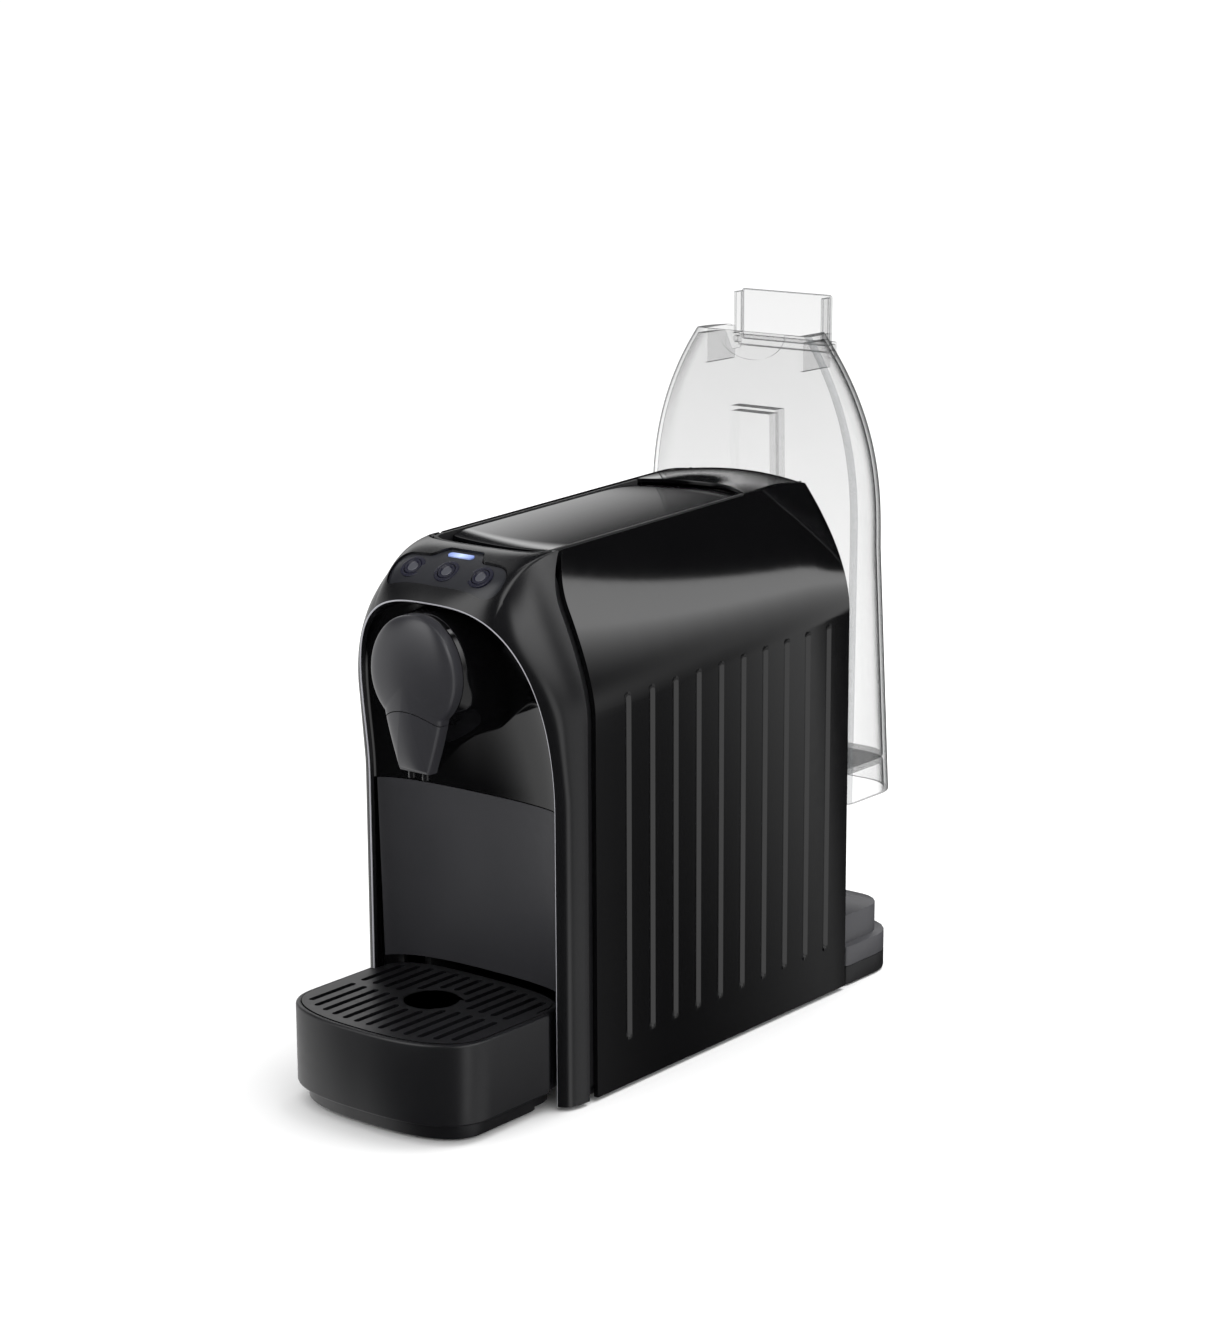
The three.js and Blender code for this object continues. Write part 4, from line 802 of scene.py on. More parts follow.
@dataclass(frozen=True)
class SidePanels:
    """The two polished side panels, each with ten upright grooves."""

    wall: float = 2.5
    grooves: int = 10
    first: float = 23.7
    pitch: float = 17.9
    wide: float = 4.6
    narrow: float = 0.6
    deep: float = 1.3
    low: float = 24.4
    high: float = 192.8
    rise: float = 0.4
    edge: float = 0.9

    def heights(self) -> np.ndarray:
        """Returns the rows' heights up to the shoulder, close together where the grooves end."""
        return np.concatenate([[HOUSING.panel_foot, 3.5, 10, 18], np.arange(21.5, 33, 0.4),
                               np.linspace(36, 184, 14),
                               np.arange(187.6, 200.2, 0.4)])

    def depths(self) -> np.ndarray:
        """Returns the columns' depths, close together across each groove."""
        across = np.array([-3.4, -2.5, -2.3, -1.8, -1.3, -0.8, -0.3, 0, 0.3, 0.8, 1.3, 1.8, 2.3, 2.5, 3.4])
        middles = self.first + self.pitch * np.arange(self.grooves)
        inside = (middles[:, None] + across[None, :]).ravel()
        return np.concatenate([[0, 1.5, 5, 12, 17], inside, [192, 198, 201.5, HOUSING.depth]])

    def groove_depth(self, y: np.ndarray, z: np.ndarray) -> np.ndarray:
        """Works out the grooves' depth: it grows with the distance inside a stadium outline, up to the
        flat bottom.

        Args:
            y: Depths of the points.
            z: Heights of the points.

        Returns:
            How far each point lies below the panel's face.
        """
        middles = self.first + self.pitch * np.arange(self.grooves)
        nearest = np.abs(y[..., None] - middles).argmin(axis=-1)
        low = self.low + self.rise / 2 * nearest + self.wide / 2
        high = self.high + self.rise * nearest - self.wide / 2
        beyond = np.maximum(np.maximum(low - z, z - high), 0)
        away = np.hypot(y - middles[nearest], beyond)
        slope = (self.wide - self.narrow) / 2
        share = np.clip((self.wide / 2 - away) / slope, 0, 1)
        return self.deep * share

    def grids(self, side: int) -> tuple[np.ndarray, np.ndarray]:
        """Works out a panel's two skins as x over depth and height. The outer one is cut by the grooves.

        Args:
            side: 1 for the right panel, -1 for the left one.

        Returns:
            The outer and the inner skin.
        """
        upper = np.sin(np.linspace(0, 1, 40)[1:] * math.pi / 2)
        straight = self.heights()
        y0 = self.depths()[None, :]
        z = np.concatenate([np.repeat(straight[:, None], y0.shape[1], axis=1),
                            mix(straight[-1], HOUSING.crest(y0), upper[:, None])])
        start = HOUSING.setback * HOUSING.sweep(np.minimum(z, HOUSING.crest_front))
        y = start + y0 * (HOUSING.depth - start) / HOUSING.depth
        x = HOUSING.width_at(y, z)
        smooth_skin = np.stack([x, y, z], axis=-1)
        outer = smooth_skin.copy()
        outer[..., 0] -= self.groove_depth(y, z)
        inner = smooth_skin - grid_normals(smooth_skin) * self.wall
        inner[:, 0, 1], inner[:, -1, 1] = smooth_skin[:, 0, 1], smooth_skin[:, -1, 1]
        inner[0, :, 2] = smooth_skin[0, :, 2]
        return outer * [side, 1, 1], inner * [side, 1, 1]

    def build(self, finishes: Finishes) -> None:
        """Builds both panels."""
        for side, name in ((-1, "left"), (1, "right")):
            piece = raw_piece(f"panel_{name}", [plate(*self.grids(side))])
            round_edges(piece, self.edge, 4, 60.0)
            dress(piece, finishes.polished, Body.MACHINE, [f"side_panel_{name}"], 25.0)


@dataclass(frozen=True)
class FrontFrame:
    """The satin front frame: one skin that runs from the dark channel round to the arched lip."""

    wall: float = 2.6
    lip_half: float = 57.3
    lip_reach: float = 21.0
    lip_lean: float = 20.0
    lean_foot: float = 145.0
    arch_foot: float = 150.0
    arch_top: float = 237.0
    arch_power: float = 3.0
    lean_power: float = 1.6
    corner_share: float = 2 / 3
    wall_share: float = 0.2
    full: float = 0.94
    crown: float = 0.66
    slope: float = 0.12
    top_reach: float = 7.0
    top_power: float = 3.5
    lip_edge: float = 1.2
    edge_round: float = 0.5

    def lip_y(self, z: np.ndarray | float) -> np.ndarray:
        """Returns how far forward the lip lies at a height: upright low down, leaning forward towards
        the arch."""
        lean = np.maximum(0, (np.asarray(z) - self.lean_foot)
                          / (self.arch_top - self.lean_foot)) ** self.lean_power
        return -self.lip_reach - self.lip_lean * lean

    def lip_half_at(self, z: np.ndarray) -> np.ndarray:
        """Returns the arch's half width at a height: straight sides, then a superellipse."""
        rise = np.clip((z - self.arch_foot) / (self.arch_top - self.arch_foot), 0, 1)
        return self.lip_half * (1 - rise ** self.arch_power) ** (1 / self.arch_power)

    def lip(self, share: np.ndarray) -> np.ndarray:
        """Returns points of the lip from the arch's foot to its top."""
        x, rise = superellipse(share * math.pi / 2, self.lip_half, self.arch_top - self.arch_foot,
                               self.arch_power)
        z = self.arch_foot + rise
        return np.stack([x, self.lip_y(z), z], axis=-1)

    def edge(self, share: np.ndarray) -> np.ndarray:
        """Works out the rear edge: up the wall, along the shoulder, then round the top corner to the middle.

        Args:
            share: Share of the way from the arch's foot to the middle of the top.

        Returns:
            A point for each share.
        """
        along = np.clip(share / self.corner_share, 0, 1)
        bend = np.clip((along - self.wall_share) / (1 - self.wall_share), 0, 1)
        x, z = HOUSING.shoulder(0, bend)
        low = along < self.wall_share
        z = np.where(low, mix(self.arch_foot, HOUSING.foot_front, along / self.wall_share), z)
        y = mix(-HOUSING.channel, HOUSING.setback - HOUSING.channel_top, HOUSING.sweep(z))
        corner = HOUSING.setback - HOUSING.channel_top
        turn = np.clip((share - self.corner_share) / (1 - self.corner_share), 0, 1) * math.pi / 2
        top_x, reach = superellipse(turn, HOUSING.crest_half, corner + self.top_reach, self.top_power)
        high = share > self.corner_share
        return np.stack([np.where(high, top_x, x), np.where(high, corner - reach, y),
                         np.where(high, HOUSING.crest_front, z)], axis=-1)

    def grid(self) -> np.ndarray:
        """Works out the outer skin: at each station a quadratic curve from the rear edge to the lip.

        Returns:
            Stations from the right foot over the top to the left foot, each with points from edge to lip.
        """
        foot = np.linspace(HOUSING.panel_foot, self.arch_foot, 24)[:-1]
        foot_edge = np.stack([np.full_like(foot, HOUSING.half), np.full_like(foot, -HOUSING.channel), foot],
                             axis=-1)
        foot_lip = np.stack([np.full_like(foot, self.lip_half), self.lip_y(foot), foot], axis=-1)
        share = np.concatenate([np.linspace(0, self.corner_share, 70),
                                np.linspace(self.corner_share, 1, 61)[1:]])
        edge = np.concatenate([foot_edge, self.edge(share)])
        lip = np.concatenate([foot_lip, self.lip(share)])
        share = np.concatenate([np.zeros(len(foot)), share])
        bend = np.stack([mix(edge[:, 0], lip[:, 0], self.slope * share),
                         mix(edge[:, 1], lip[:, 1], mix(self.full, self.crown, share)),
                         mix(edge[:, 2], lip[:, 2], self.slope)], axis=-1)
        along = np.linspace(0, 1, 29)[None, :, None]
        right = bezier(edge[:, None, :], bend[:, None, :], lip[:, None, :], along)
        left = right[-2::-1] * [-1, 1, 1]
        return np.concatenate([right, left])

    def skin(self, sink: float) -> np.ndarray:
        """Returns the outer skin moved inwards along its normals."""
        grid = self.grid()
        return grid + grid_normals(grid) * sink

    def surface(self) -> BVHTree:
        """Returns the outer skin as a tree that rays can be cast at, in millimetres."""
        grid = self.grid()
        faces = grid_faces(*grid.shape[:2])
        return BVHTree.FromPolygons([tuple(p) for p in grid.reshape(-1, 3)], faces.tolist())

    def build(self, finishes: Finishes, pad_hole: np.ndarray) -> None:
        """Builds the frame and cuts the control panel's hole.

        Args:
            finishes: The machine's finishes.
            pad_hole: Outline of the hole in plan.
        """
        piece = raw_piece("frame_skin", [plate(self.skin(0.0), self.skin(self.wall))])
        combine(piece, [prism(pad_hole, *TOP_SPAN, Axis.Z)], Cut.TAKE_OFF)
        mark_edges(piece.data, self.grid()[:, -1])
        # The lip's rounding takes the second material, a pale painted highlight along the edge.
        round_edges(piece, self.lip_edge, 3, 50.0, 1, marked=True)
        round_edges(piece, self.edge_round, 2, 50.0)
        dress(piece, finishes.satin, Body.MACHINE, ["front_frame"], 30.0)
        piece.data.materials.append(finishes.lip)


FRAME = FrontFrame()


@dataclass(frozen=True)
class Niche:
    """The concave front behind the lip: polished niche panel above, the container's matt face below."""

    deep_low: float = 21.5
    deep_high: float = 13.5
    power: float = 2.7
    tuck: float = 1.0
    foot: float = 50.0
    seam: float = 141.0
    gap: float = 0.3
    wall: float = 2.4
    container_foot: float = 50.6
    container_half: float = 56.9
    crate_half: float = 48.0
    crate_front: float = -16.0
    crate_rear: float = 92.0
    crate_top: float = 128.0
    crate_wall: float = 2.2

    def skin(self, low: float, high: float, rows: int, limit: float | None = None) -> np.ndarray:
        """Works out the concave surface: at each height half a superellipse in plan, hung from the lip.

        Args:
            low: Height of the lowest row.
            high: Height of the top row.
            rows: Steps between them.
            limit: Half width, where it isn't the lip's.

        Returns:
            The surface in rows and columns.
        """
        z = mix(low, high, np.sin(np.linspace(0, 1, rows + 1) * math.pi / 2))[:, None]
        reach = FRAME.lip_half_at(z) + self.tuck
        depth = mix(self.deep_low, self.deep_high, np.minimum(1, (z - self.foot) / (self.seam - self.foot)))
        widest = 0.9994 if limit is None else limit / reach
        share = -np.cos(np.linspace(0, 1, 97) * math.pi)[None, :] * widest
        y = FRAME.lip_y(z) + depth * np.maximum(0, 1 - np.abs(share) ** self.power) ** (1 / self.power)
        return np.stack([share * reach, y, np.broadcast_to(z, y.shape)], axis=-1)

    def build(self, finishes: Finishes) -> None:
        """Builds the niche panel, the container's face and its crate."""
        upper = self.skin(self.seam + self.gap, FRAME.arch_top, 60)
        piece = raw_piece("niche_skin", [plate(upper, upper + [0, self.wall, 0])])
        round_edges(piece, 0.5, 2, 50.0)
        dress(piece, finishes.polished, Body.MACHINE, ["niche_panel"], 30.0)
        lower = self.skin(self.container_foot, self.seam - self.gap, 30, self.container_half)
        face = raw_piece("container_face", [plate(lower, lower + [0, self.wall, 0])])
        round_edges(face, 0.7, 3, 50.0)
        dress(face, finishes.face, Body.CONTAINER, ["capsule_container"], 30.0)
        crate = raw_piece("container_crate", [self.crate()])
        behind = self.skin(self.container_foot - self.wall, self.seam, 30) + [0, self.wall / 2, 0]
        combine(crate, [plate(behind, behind - [0, self.crate_half, 0])], Cut.TAKE_OFF)
        round_edges(crate, 0.5, 2, 50.0)
        dress(crate, finishes.matt, Body.CONTAINER)

    def crate(self) -> Solid:
        """Returns the container's box as rings: up the outside, over the rim, and down the inside to the
        floor."""
        wall = self.crate_wall
        outer = rounded_box(-self.crate_half, self.crate_half, self.crate_front, self.crate_rear, 5)
        inner = rounded_box(-self.crate_half + wall, self.crate_half - wall, self.crate_front + wall,
                            self.crate_rear - wall, 5 - wall)
        levels = [(outer, self.container_foot), (outer, self.crate_top), (inner, self.crate_top),
                  (inner, self.container_foot + wall)]
        return loft(np.stack([placed(outline, height, Axis.Z) for outline, height in levels]))


@dataclass(frozen=True)
class ControlPanel:
    """The sunk control panel with its light bar and three round buttons."""

    half: float = 34.0
    low: float = -35.5
    high: float = -20.0
    corner: float = 7.4
    bump_half: float = 13.0
    bump_high: float = -12.5
    sink: float = 1.0
    wall: float = 2.2
    gap: float = 0.3
    bar_length: float = 15.0
    bar_width: float = 3.0
    bar_place: float = -17.2
    bar_proud: float = 0.4
    button_radius: float = 4.4
    button_place: float = -28.2
    button_pitch: float = 20.6
    ring_radius: float = 6.3
    ring_proud: float = 0.12
    bore: tuple[tuple[float, float], ...] = ((1, -9), (1, 3))

    def outline(self, inset: float) -> np.ndarray:
        """Works out the outline in plan: a rounded box whose rear side swells in soft steps round the
        light bar.

        Args:
            inset: How far the outline is moved inwards.

        Returns:
            The outline, counter-clockwise.
        """
        box = rounded_box(-self.half + inset, self.half - inset, self.low + inset, self.high - inset,
                          self.corner - inset, 10)
        right, left, rest = box[:11], box[11:22], box[22:]
        share = np.linspace(0, 1, 15)
        rise = mix(self.high, self.bump_high, (1 - np.cos(share * math.pi)) / 2) - inset
        across = mix(self.bump_half + self.corner / 2, self.bump_half - self.corner / 2, share) - inset
        swell = np.stack([across, rise], axis=-1)
        return np.concatenate([right, swell, swell[::-1] * [-1, 1], left, rest])

    def bar_outline(self, grow: float) -> np.ndarray:
        """Returns the light bar's outline in plan, grown by a distance."""
        half, width = self.bar_length / 2 + grow, self.bar_width / 2 + grow
        return rounded_box(-half, half, self.bar_place - width, self.bar_place + width, width - 0.05, 8)

    def button_frame(self, x: float, surface: BVHTree) -> tuple[np.ndarray, np.ndarray]:
        """Works out how a button stands on the panel.

        Args:
            x: Place of the button across the machine.
            surface: The frame's outer skin.

        Returns:
            The point on the skin under the button's middle, and the unit direction square to the skin.
        """
        front, rear, middle = (surface.ray_cast((x, y, 400), (0, 0, -1))[0] for y in (
            self.button_place - self.button_radius, self.button_place + self.button_radius,
            self.button_place))
        slope = math.atan2(rear.z - front.z, rear.y - front.y)
        return np.array(middle), np.array([0, -math.sin(slope), math.cos(slope)])

    def button(self, x: float, surface: BVHTree, radius: float,
               profile: Sequence[tuple[float, float]]) -> Solid:
        """Works out a turned form that stands square to the panel.

        Args:
            x: Place of its axis across the machine.
            surface: The frame's outer skin.
            radius: Radius that the profile's shares refer to.
            profile: Pairs of radius share and height above the skin.

        Returns:
            The closed solid.
        """
        foot, up = self.button_frame(x, surface)
        across, along = np.array([1.0, 0, 0]), np.cross(up, [1.0, 0, 0])
        turn = np.linspace(0, 2 * math.pi, 56, endpoint=False)[None, :, None]
        share = np.array([pair[0] for pair in profile])[:, None, None] * radius
        height = np.array([pair[1] for pair in profile])[:, None, None]
        return loft(foot + up * height + (across * np.cos(turn) + along * np.sin(turn)) * share, domed=True)

    def hole(self, x: float, surface: BVHTree) -> Solid:
        """Returns the form that leaves room for the button at a place across the machine."""
        return self.button(x, surface, self.button_radius + self.gap, self.bore)

    def tint_centre(self, knob: bpy.types.Object, material: bpy.types.Material, middle: np.ndarray) -> None:
        """Gives the dished middle of a button its own finish.

        Args:
            knob: The button.
            material: Finish of its middle.
            middle: Point on its axis, in millimetres of the housing's frame.
        """
        knob.data.materials.append(material)
        centres = np.empty(len(knob.data.polygons) * 3)
        knob.data.polygons.foreach_get("center", centres)
        away = np.linalg.norm(centres.reshape(-1, 3) - (middle - ORIGIN_SHIFT) * MM, axis=1)
        knob.data.polygons.foreach_set("material_index",
                                       (away < self.button_radius * 0.62 * MM).astype(int))

    def build(self, finishes: Finishes) -> None:
        """Builds the panel, the light bar and the buttons."""
        surface = FRAME.surface()
        spots = ((-1, "left", Body.BUTTON_LEFT), (0, "middle", Body.BUTTON_MIDDLE),
                 (1, "right", Body.BUTTON_RIGHT))
        sheet = raw_piece("control_skin", [plate(FRAME.skin(self.sink), FRAME.skin(self.sink + self.wall))])
        combine(sheet, [prism(self.outline(self.gap), *TOP_SPAN, Axis.Z)], Cut.KEEP_COMMON)
        holes = [self.hole(side * self.button_pitch, surface) for side, _, _ in spots]
        combine(sheet, holes + [prism(self.bar_outline(self.gap), 240, 300, Axis.Z)], Cut.TAKE_OFF)
        round_edges(sheet, 0.35, 2, 50.0)
        dress(sheet, finishes.pad, Body.MACHINE, ["control_panel"], 30.0)
        bar = raw_piece("light_strip",
                        [plate(FRAME.skin(self.sink - self.bar_proud), FRAME.skin(self.sink + self.wall))])
        combine(bar, [prism(self.bar_outline(0.0), 240, 300, Axis.Z)], Cut.KEEP_COMMON)
        round_edges(bar, 0.3, 2, 50.0)
        dress(bar, finishes.glow, Body.MACHINE, ["light_bar"], 30.0)
        ring = [(0.5, -self.sink - 0.5), (1, -self.sink - 0.5), (1, self.ring_proud / 2 - self.sink),
                (0.98, self.ring_proud - self.sink), (0.5, self.ring_proud - self.sink)]
        for side, name, _ in spots:
            place = side * self.button_pitch
            mark = raw_piece(f"ring_{name}", [self.button(place, surface, self.ring_radius, ring)])
            combine(mark, [self.hole(place, surface)], Cut.TAKE_OFF)
            dress(mark, finishes.ring, Body.MACHINE, (), 30.0)
        top = -self.sink + 0.3
        dish = [(0.35, -9), (0.4, -3.4), (0.9, -3.3), (1, -3), (1, top - 0.35), (0.97, top - 0.1),
                (0.9, top), (0.72, top), (0.66, top - 0.12), (0.6, top - 0.3), (0.4, top - 0.34),
                (0.2, top - 0.36), (0.05, top - 0.36)]
        for side, name, body in spots:
            knob = raw_piece(f"knob_{name}",
                             [self.button(side * self.button_pitch, surface, self.button_radius, dish)])
            dress(knob, finishes.ring, body, [f"button_{name}"], 40.0)
            self.tint_centre(knob, finishes.centre, self.button_frame(side * self.button_pitch, surface)[0])


@dataclass(frozen=True)
class BrewHead:
    """The brew head: polished hood, satin cap and spout with its two outlets."""

    height: float = 206.0
    half: float = 25.5
    rise: float = 27.5
    reach: float = 58.2
    rim: float = 51.0
    rear: float = 46.0
    hood_front: float = 45.7
    hood_base: float = 10.0
    hood_rear: float = 4.4
    hood_half: float = 29.0
    hood_rise: float = 32.0
    hood_centre: float = 204.0
    hood_power: float = 2.6
    seam_radius: float = 25.4
    seam_centre: float = 164.1
    seam_gap: float = 0.4
    nozzle_low: float = 160.0
    nozzle_half: float = 8.5
    neck: tuple[float, float, float] = (0.27, 14.5, 176.0)
    hood_neck: tuple[float, float, float] = (0.3, 9.5, 179.0)
    dome_centre: float = 203.0
    outlet_radius: float = 1.8
    outlet_bore: float = 1.0
    outlet_spread: float = 4.2
    outlet_place: float = -48.6
    outlet_low: float = 156.5

    def outline(self, neck: tuple[float, float, float]) -> np.ndarray:
        """Works out the drop outline seen from the front: a round head whose sides run down to the nozzle.

        Args:
            neck: Turn below the horizontal where the neck starts, as a share of half a turn, then the
                half width and the height of the point that the neck bends towards.

        Returns:
            The outline as x and z.
        """
        turn = np.linspace(-math.pi * neck[0], math.pi * (1 + neck[0]), 121)
        rise = np.where(np.sin(turn) < 0, self.half, self.rise)
        head = np.stack([self.half * np.cos(turn), self.height + rise * np.sin(turn)], axis=-1)
        share = np.linspace(0, 1, 25)[1:, None]
        side = bezier(head[-1], np.array([-neck[1], neck[2]]),
                      np.array([-self.nozzle_half, self.nozzle_low]), share)
        return np.concatenate([head, side, side[::-1] * [-1, 1]])

    def dome(self) -> Solid:
        """Returns disc and spout together: a straight rim, then rings that shrink with the cosine as
        they come forward with the sine."""
        outline = self.outline(self.neck)
        rings = [placed(outline, -self.rear, Axis.Y), placed(outline, -self.rim, Axis.Y)]
        for turn in np.linspace(0, math.pi / 2, 26)[1:-1]:
            size = math.cos(turn)
            ring = np.stack([outline[:, 0] * size, mix(self.dome_centre, outline[:, 1], size)], axis=-1)
            rings.append(placed(ring, -self.rim - (self.reach - self.rim) * math.sin(turn), Axis.Y))
        return loft(np.stack(rings), domed=True)

    def hood(self) -> Solid:
        """Returns the hood: its section turns from the drop to a broad superellipse, fast in front and
        slowly behind."""
        outline = self.outline(self.hood_neck)
        turn = np.arctan2(outline[:, 1] - self.height, outline[:, 0])
        x, z = superellipse(turn, self.hood_half, self.hood_rise, self.hood_power)
        base = np.stack([x, z + self.hood_centre], axis=-1)
        rings = []
        for share in np.linspace(0, 1, 18):
            ring = mix(outline, base, 1 - (1 - share) ** 2)
            rings.append(placed(ring, mix(-self.hood_front, -self.hood_base, share), Axis.Y))
        rings.append(placed(base, -self.hood_rear, Axis.Y))
        return loft(np.stack(rings), domed=True)

    def seam_zone(self, grow: float) -> Solid:
        """Returns the cylinder that parts the spout from the cap."""
        return prism(circle(self.seam_radius + grow, 0, self.seam_centre, 160), -80, -20, Axis.Y)

    def build(self, finishes: Finishes) -> None:
        """Builds hood, cap, spout and outlets."""
        hood = raw_piece("head_hood", [self.hood()])
        round_edges(hood, 0.6, 3, 50.0)
        dress(hood, finishes.polished, Body.MACHINE, ["brew_head_hood"], 40.0)
        cap = raw_piece("head_cap", [self.dome()])
        combine(cap, [self.seam_zone(self.seam_gap)], Cut.TAKE_OFF)
        round_edges(cap, 0.3, 2, 45.0)
        dress(cap, finishes.head, Body.MACHINE, ["brew_head_cap"], 40.0)
        spout = raw_piece("head_spout", [self.dome()])
        combine(spout, [self.seam_zone(0.0)], Cut.KEEP_COMMON)
        round_edges(spout, 0.3, 2, 45.0)
        dress(spout, finishes.head, Body.MACHINE, ["spout"], 40.0)
        outlets = [ring_tube(self.outlet_radius, self.outlet_bore, side * self.outlet_spread,
                             self.outlet_place,
                             self.outlet_low, self.nozzle_low + 0.5, Axis.Z) for side in (-1, 1)]
        pair = raw_piece("outlet_pair", outlets)
        round_edges(pair, 0.25, 2, 45.0)
        dress(pair, finishes.satin, Body.MACHINE)


@dataclass(frozen=True)
class Top:
    """The lever on top with its rear cap."""

    half: float = 32.1
    front: float = 13.0
    wall: float = 2.4
    drop_front: float = 0.8
    drop_rear: float = 3.6
    drop_power: float = 16.0
    dish: float = 1.4
    skirt: float = 8.0
    tuck: float = 3.0
    nose_rear: float = 24.0
    nose: float = 1.2
    pin_y: float = 148.0
    pin_z: float = 254.0
    pin_radius: float = 2.2
    hub_radius: float = 5.0
    hub_length: float = 6.0
    cap_middle: float = 172.0
    cap_arc: float = 15.0
    cap_dome: float = 2.9
    cap_half: float = 34.2
    cap_skin: float = 2.2
    cap_wall: float = 1.6
    cap_skirt_low: float = 256.3
    cap_wall_low: float = 250.3

    def cap_front(self, x: np.ndarray | float) -> np.ndarray:
        """Returns the depth of the arched seam between lever and cap."""
        return self.cap_middle - self.cap_arc * (np.asarray(x) / self.half) ** 2

    def lever_top(self, x: np.ndarray, y: np.ndarray) -> np.ndarray:
        """Returns the lever's height: it follows the crests, dips under the cap with a high power of the
        way to it, rounds off in front and is dished across."""
        way = np.clip((y - self.front) / (self.cap_front(x) - self.front), 0, 1)
        drop = mix(self.drop_front, self.drop_rear, way ** self.drop_power)
        nose = self.nose * np.maximum(0, 1 - (y - self.front) / (self.nose_rear - self.front)) ** 2
        return HOUSING.crest(y) - drop - nose - self.dish * (1 - (x / self.half) ** 2)

    def lever_plate(self) -> Solid:
        """Returns the lever's plate, from its nose to the tail that is tucked under the cap."""
        share = np.linspace(0, 1, 90)[:, None]
        x = np.linspace(-self.half, self.half, 61)[None, :]
        y = mix(self.front, self.cap_front(x) + self.tuck, share ** 2 * 0.65 + share * 0.35)
        x = np.broadcast_to(x, y.shape)
        top = np.stack([x, y, self.lever_top(x, y)], axis=-1)
        return plate(top, top - [0, 0, self.wall])

    def lever_skirt(self, side: int) -> Solid:
        """Returns one of the lever's side walls, which follows its plate back to the hub."""
        y = np.linspace(self.front + 2, self.pin_y, 60)
        edge = np.stack([np.full_like(y, side * self.half), y,
                         self.lever_top(np.full_like(y, self.half), y)], axis=-1)
        outer = np.stack([edge - [0, 0, 1.2], edge - [0, 0, self.skirt]])
        return plate(outer, outer - [side * 2.0, 0, 0])

    def cap_plate(self) -> Solid:
        """Returns the cap's skin: dished like the lever along the arched seam, it swells with the sine
        into a dome."""
        share = np.linspace(0, 1, 40)[:, None]
        x = np.linspace(-self.cap_half, self.cap_half, 61)[None, :]
        y = mix(self.cap_front(x), HOUSING.depth, share)
        x = np.broadcast_to(x, y.shape)
        swell = mix(-self.dish, self.cap_dome, np.sin(share * math.pi / 2))
        height = HOUSING.crest(y) + swell * (1 - (x / self.cap_half) ** 2)
        top = np.stack([x, y, height], axis=-1)
        return plate(top, top - [0, 0, self.cap_skin])

    def build(self, finishes: Finishes) -> None:
        """Builds the lever with its skirts and hubs, and the cap with its walls."""
        lever = raw_piece("lever_plate", [self.lever_plate()])
        round_edges(lever, 0.8, 4, 50.0)
        dress(lever, finishes.lever, Body.LEVER, ["lever"], 30.0)
        hubs = [ring_tube(self.hub_radius, self.pin_radius + 0.3, self.pin_y, self.pin_z,
                          *sorted((side * (self.half - self.hub_length), side * self.half)), Axis.X)
                for side in (-1, 1)]
        arms = raw_piece("lever_arms", [self.lever_skirt(-1), self.lever_skirt(1)])
        round_edges(arms, 0.4, 2, 50.0)
        dress(arms, finishes.lever, Body.LEVER)
        dress(raw_piece("lever_hubs", hubs), finishes.lever, Body.LEVER)
        cap = raw_piece("cap_skin", [self.cap_plate()])
        round_edges(cap, 0.6, 3, 50.0)
        dress(cap, finishes.polished, Body.MACHINE, ["rear_cap"], 30.0)
        tops = HOUSING.crest_rear - HOUSING.fall - self.cap_skin / 2
        sides = [block(sorted((side * self.cap_half, side * (self.cap_half - self.cap_wall))),
                       (self.cap_front(self.half), HOUSING.depth), (self.cap_skirt_low, tops))
                 for side in (-1, 1)]
        rear = block((-self.cap_half, self.cap_half), (HOUSING.depth - self.cap_skin, HOUSING.depth),
                     (self.cap_wall_low, tops))
        walls = raw_piece("cap_walls", sides + [rear])
        dress(walls, finishes.polished, Body.MACHINE)


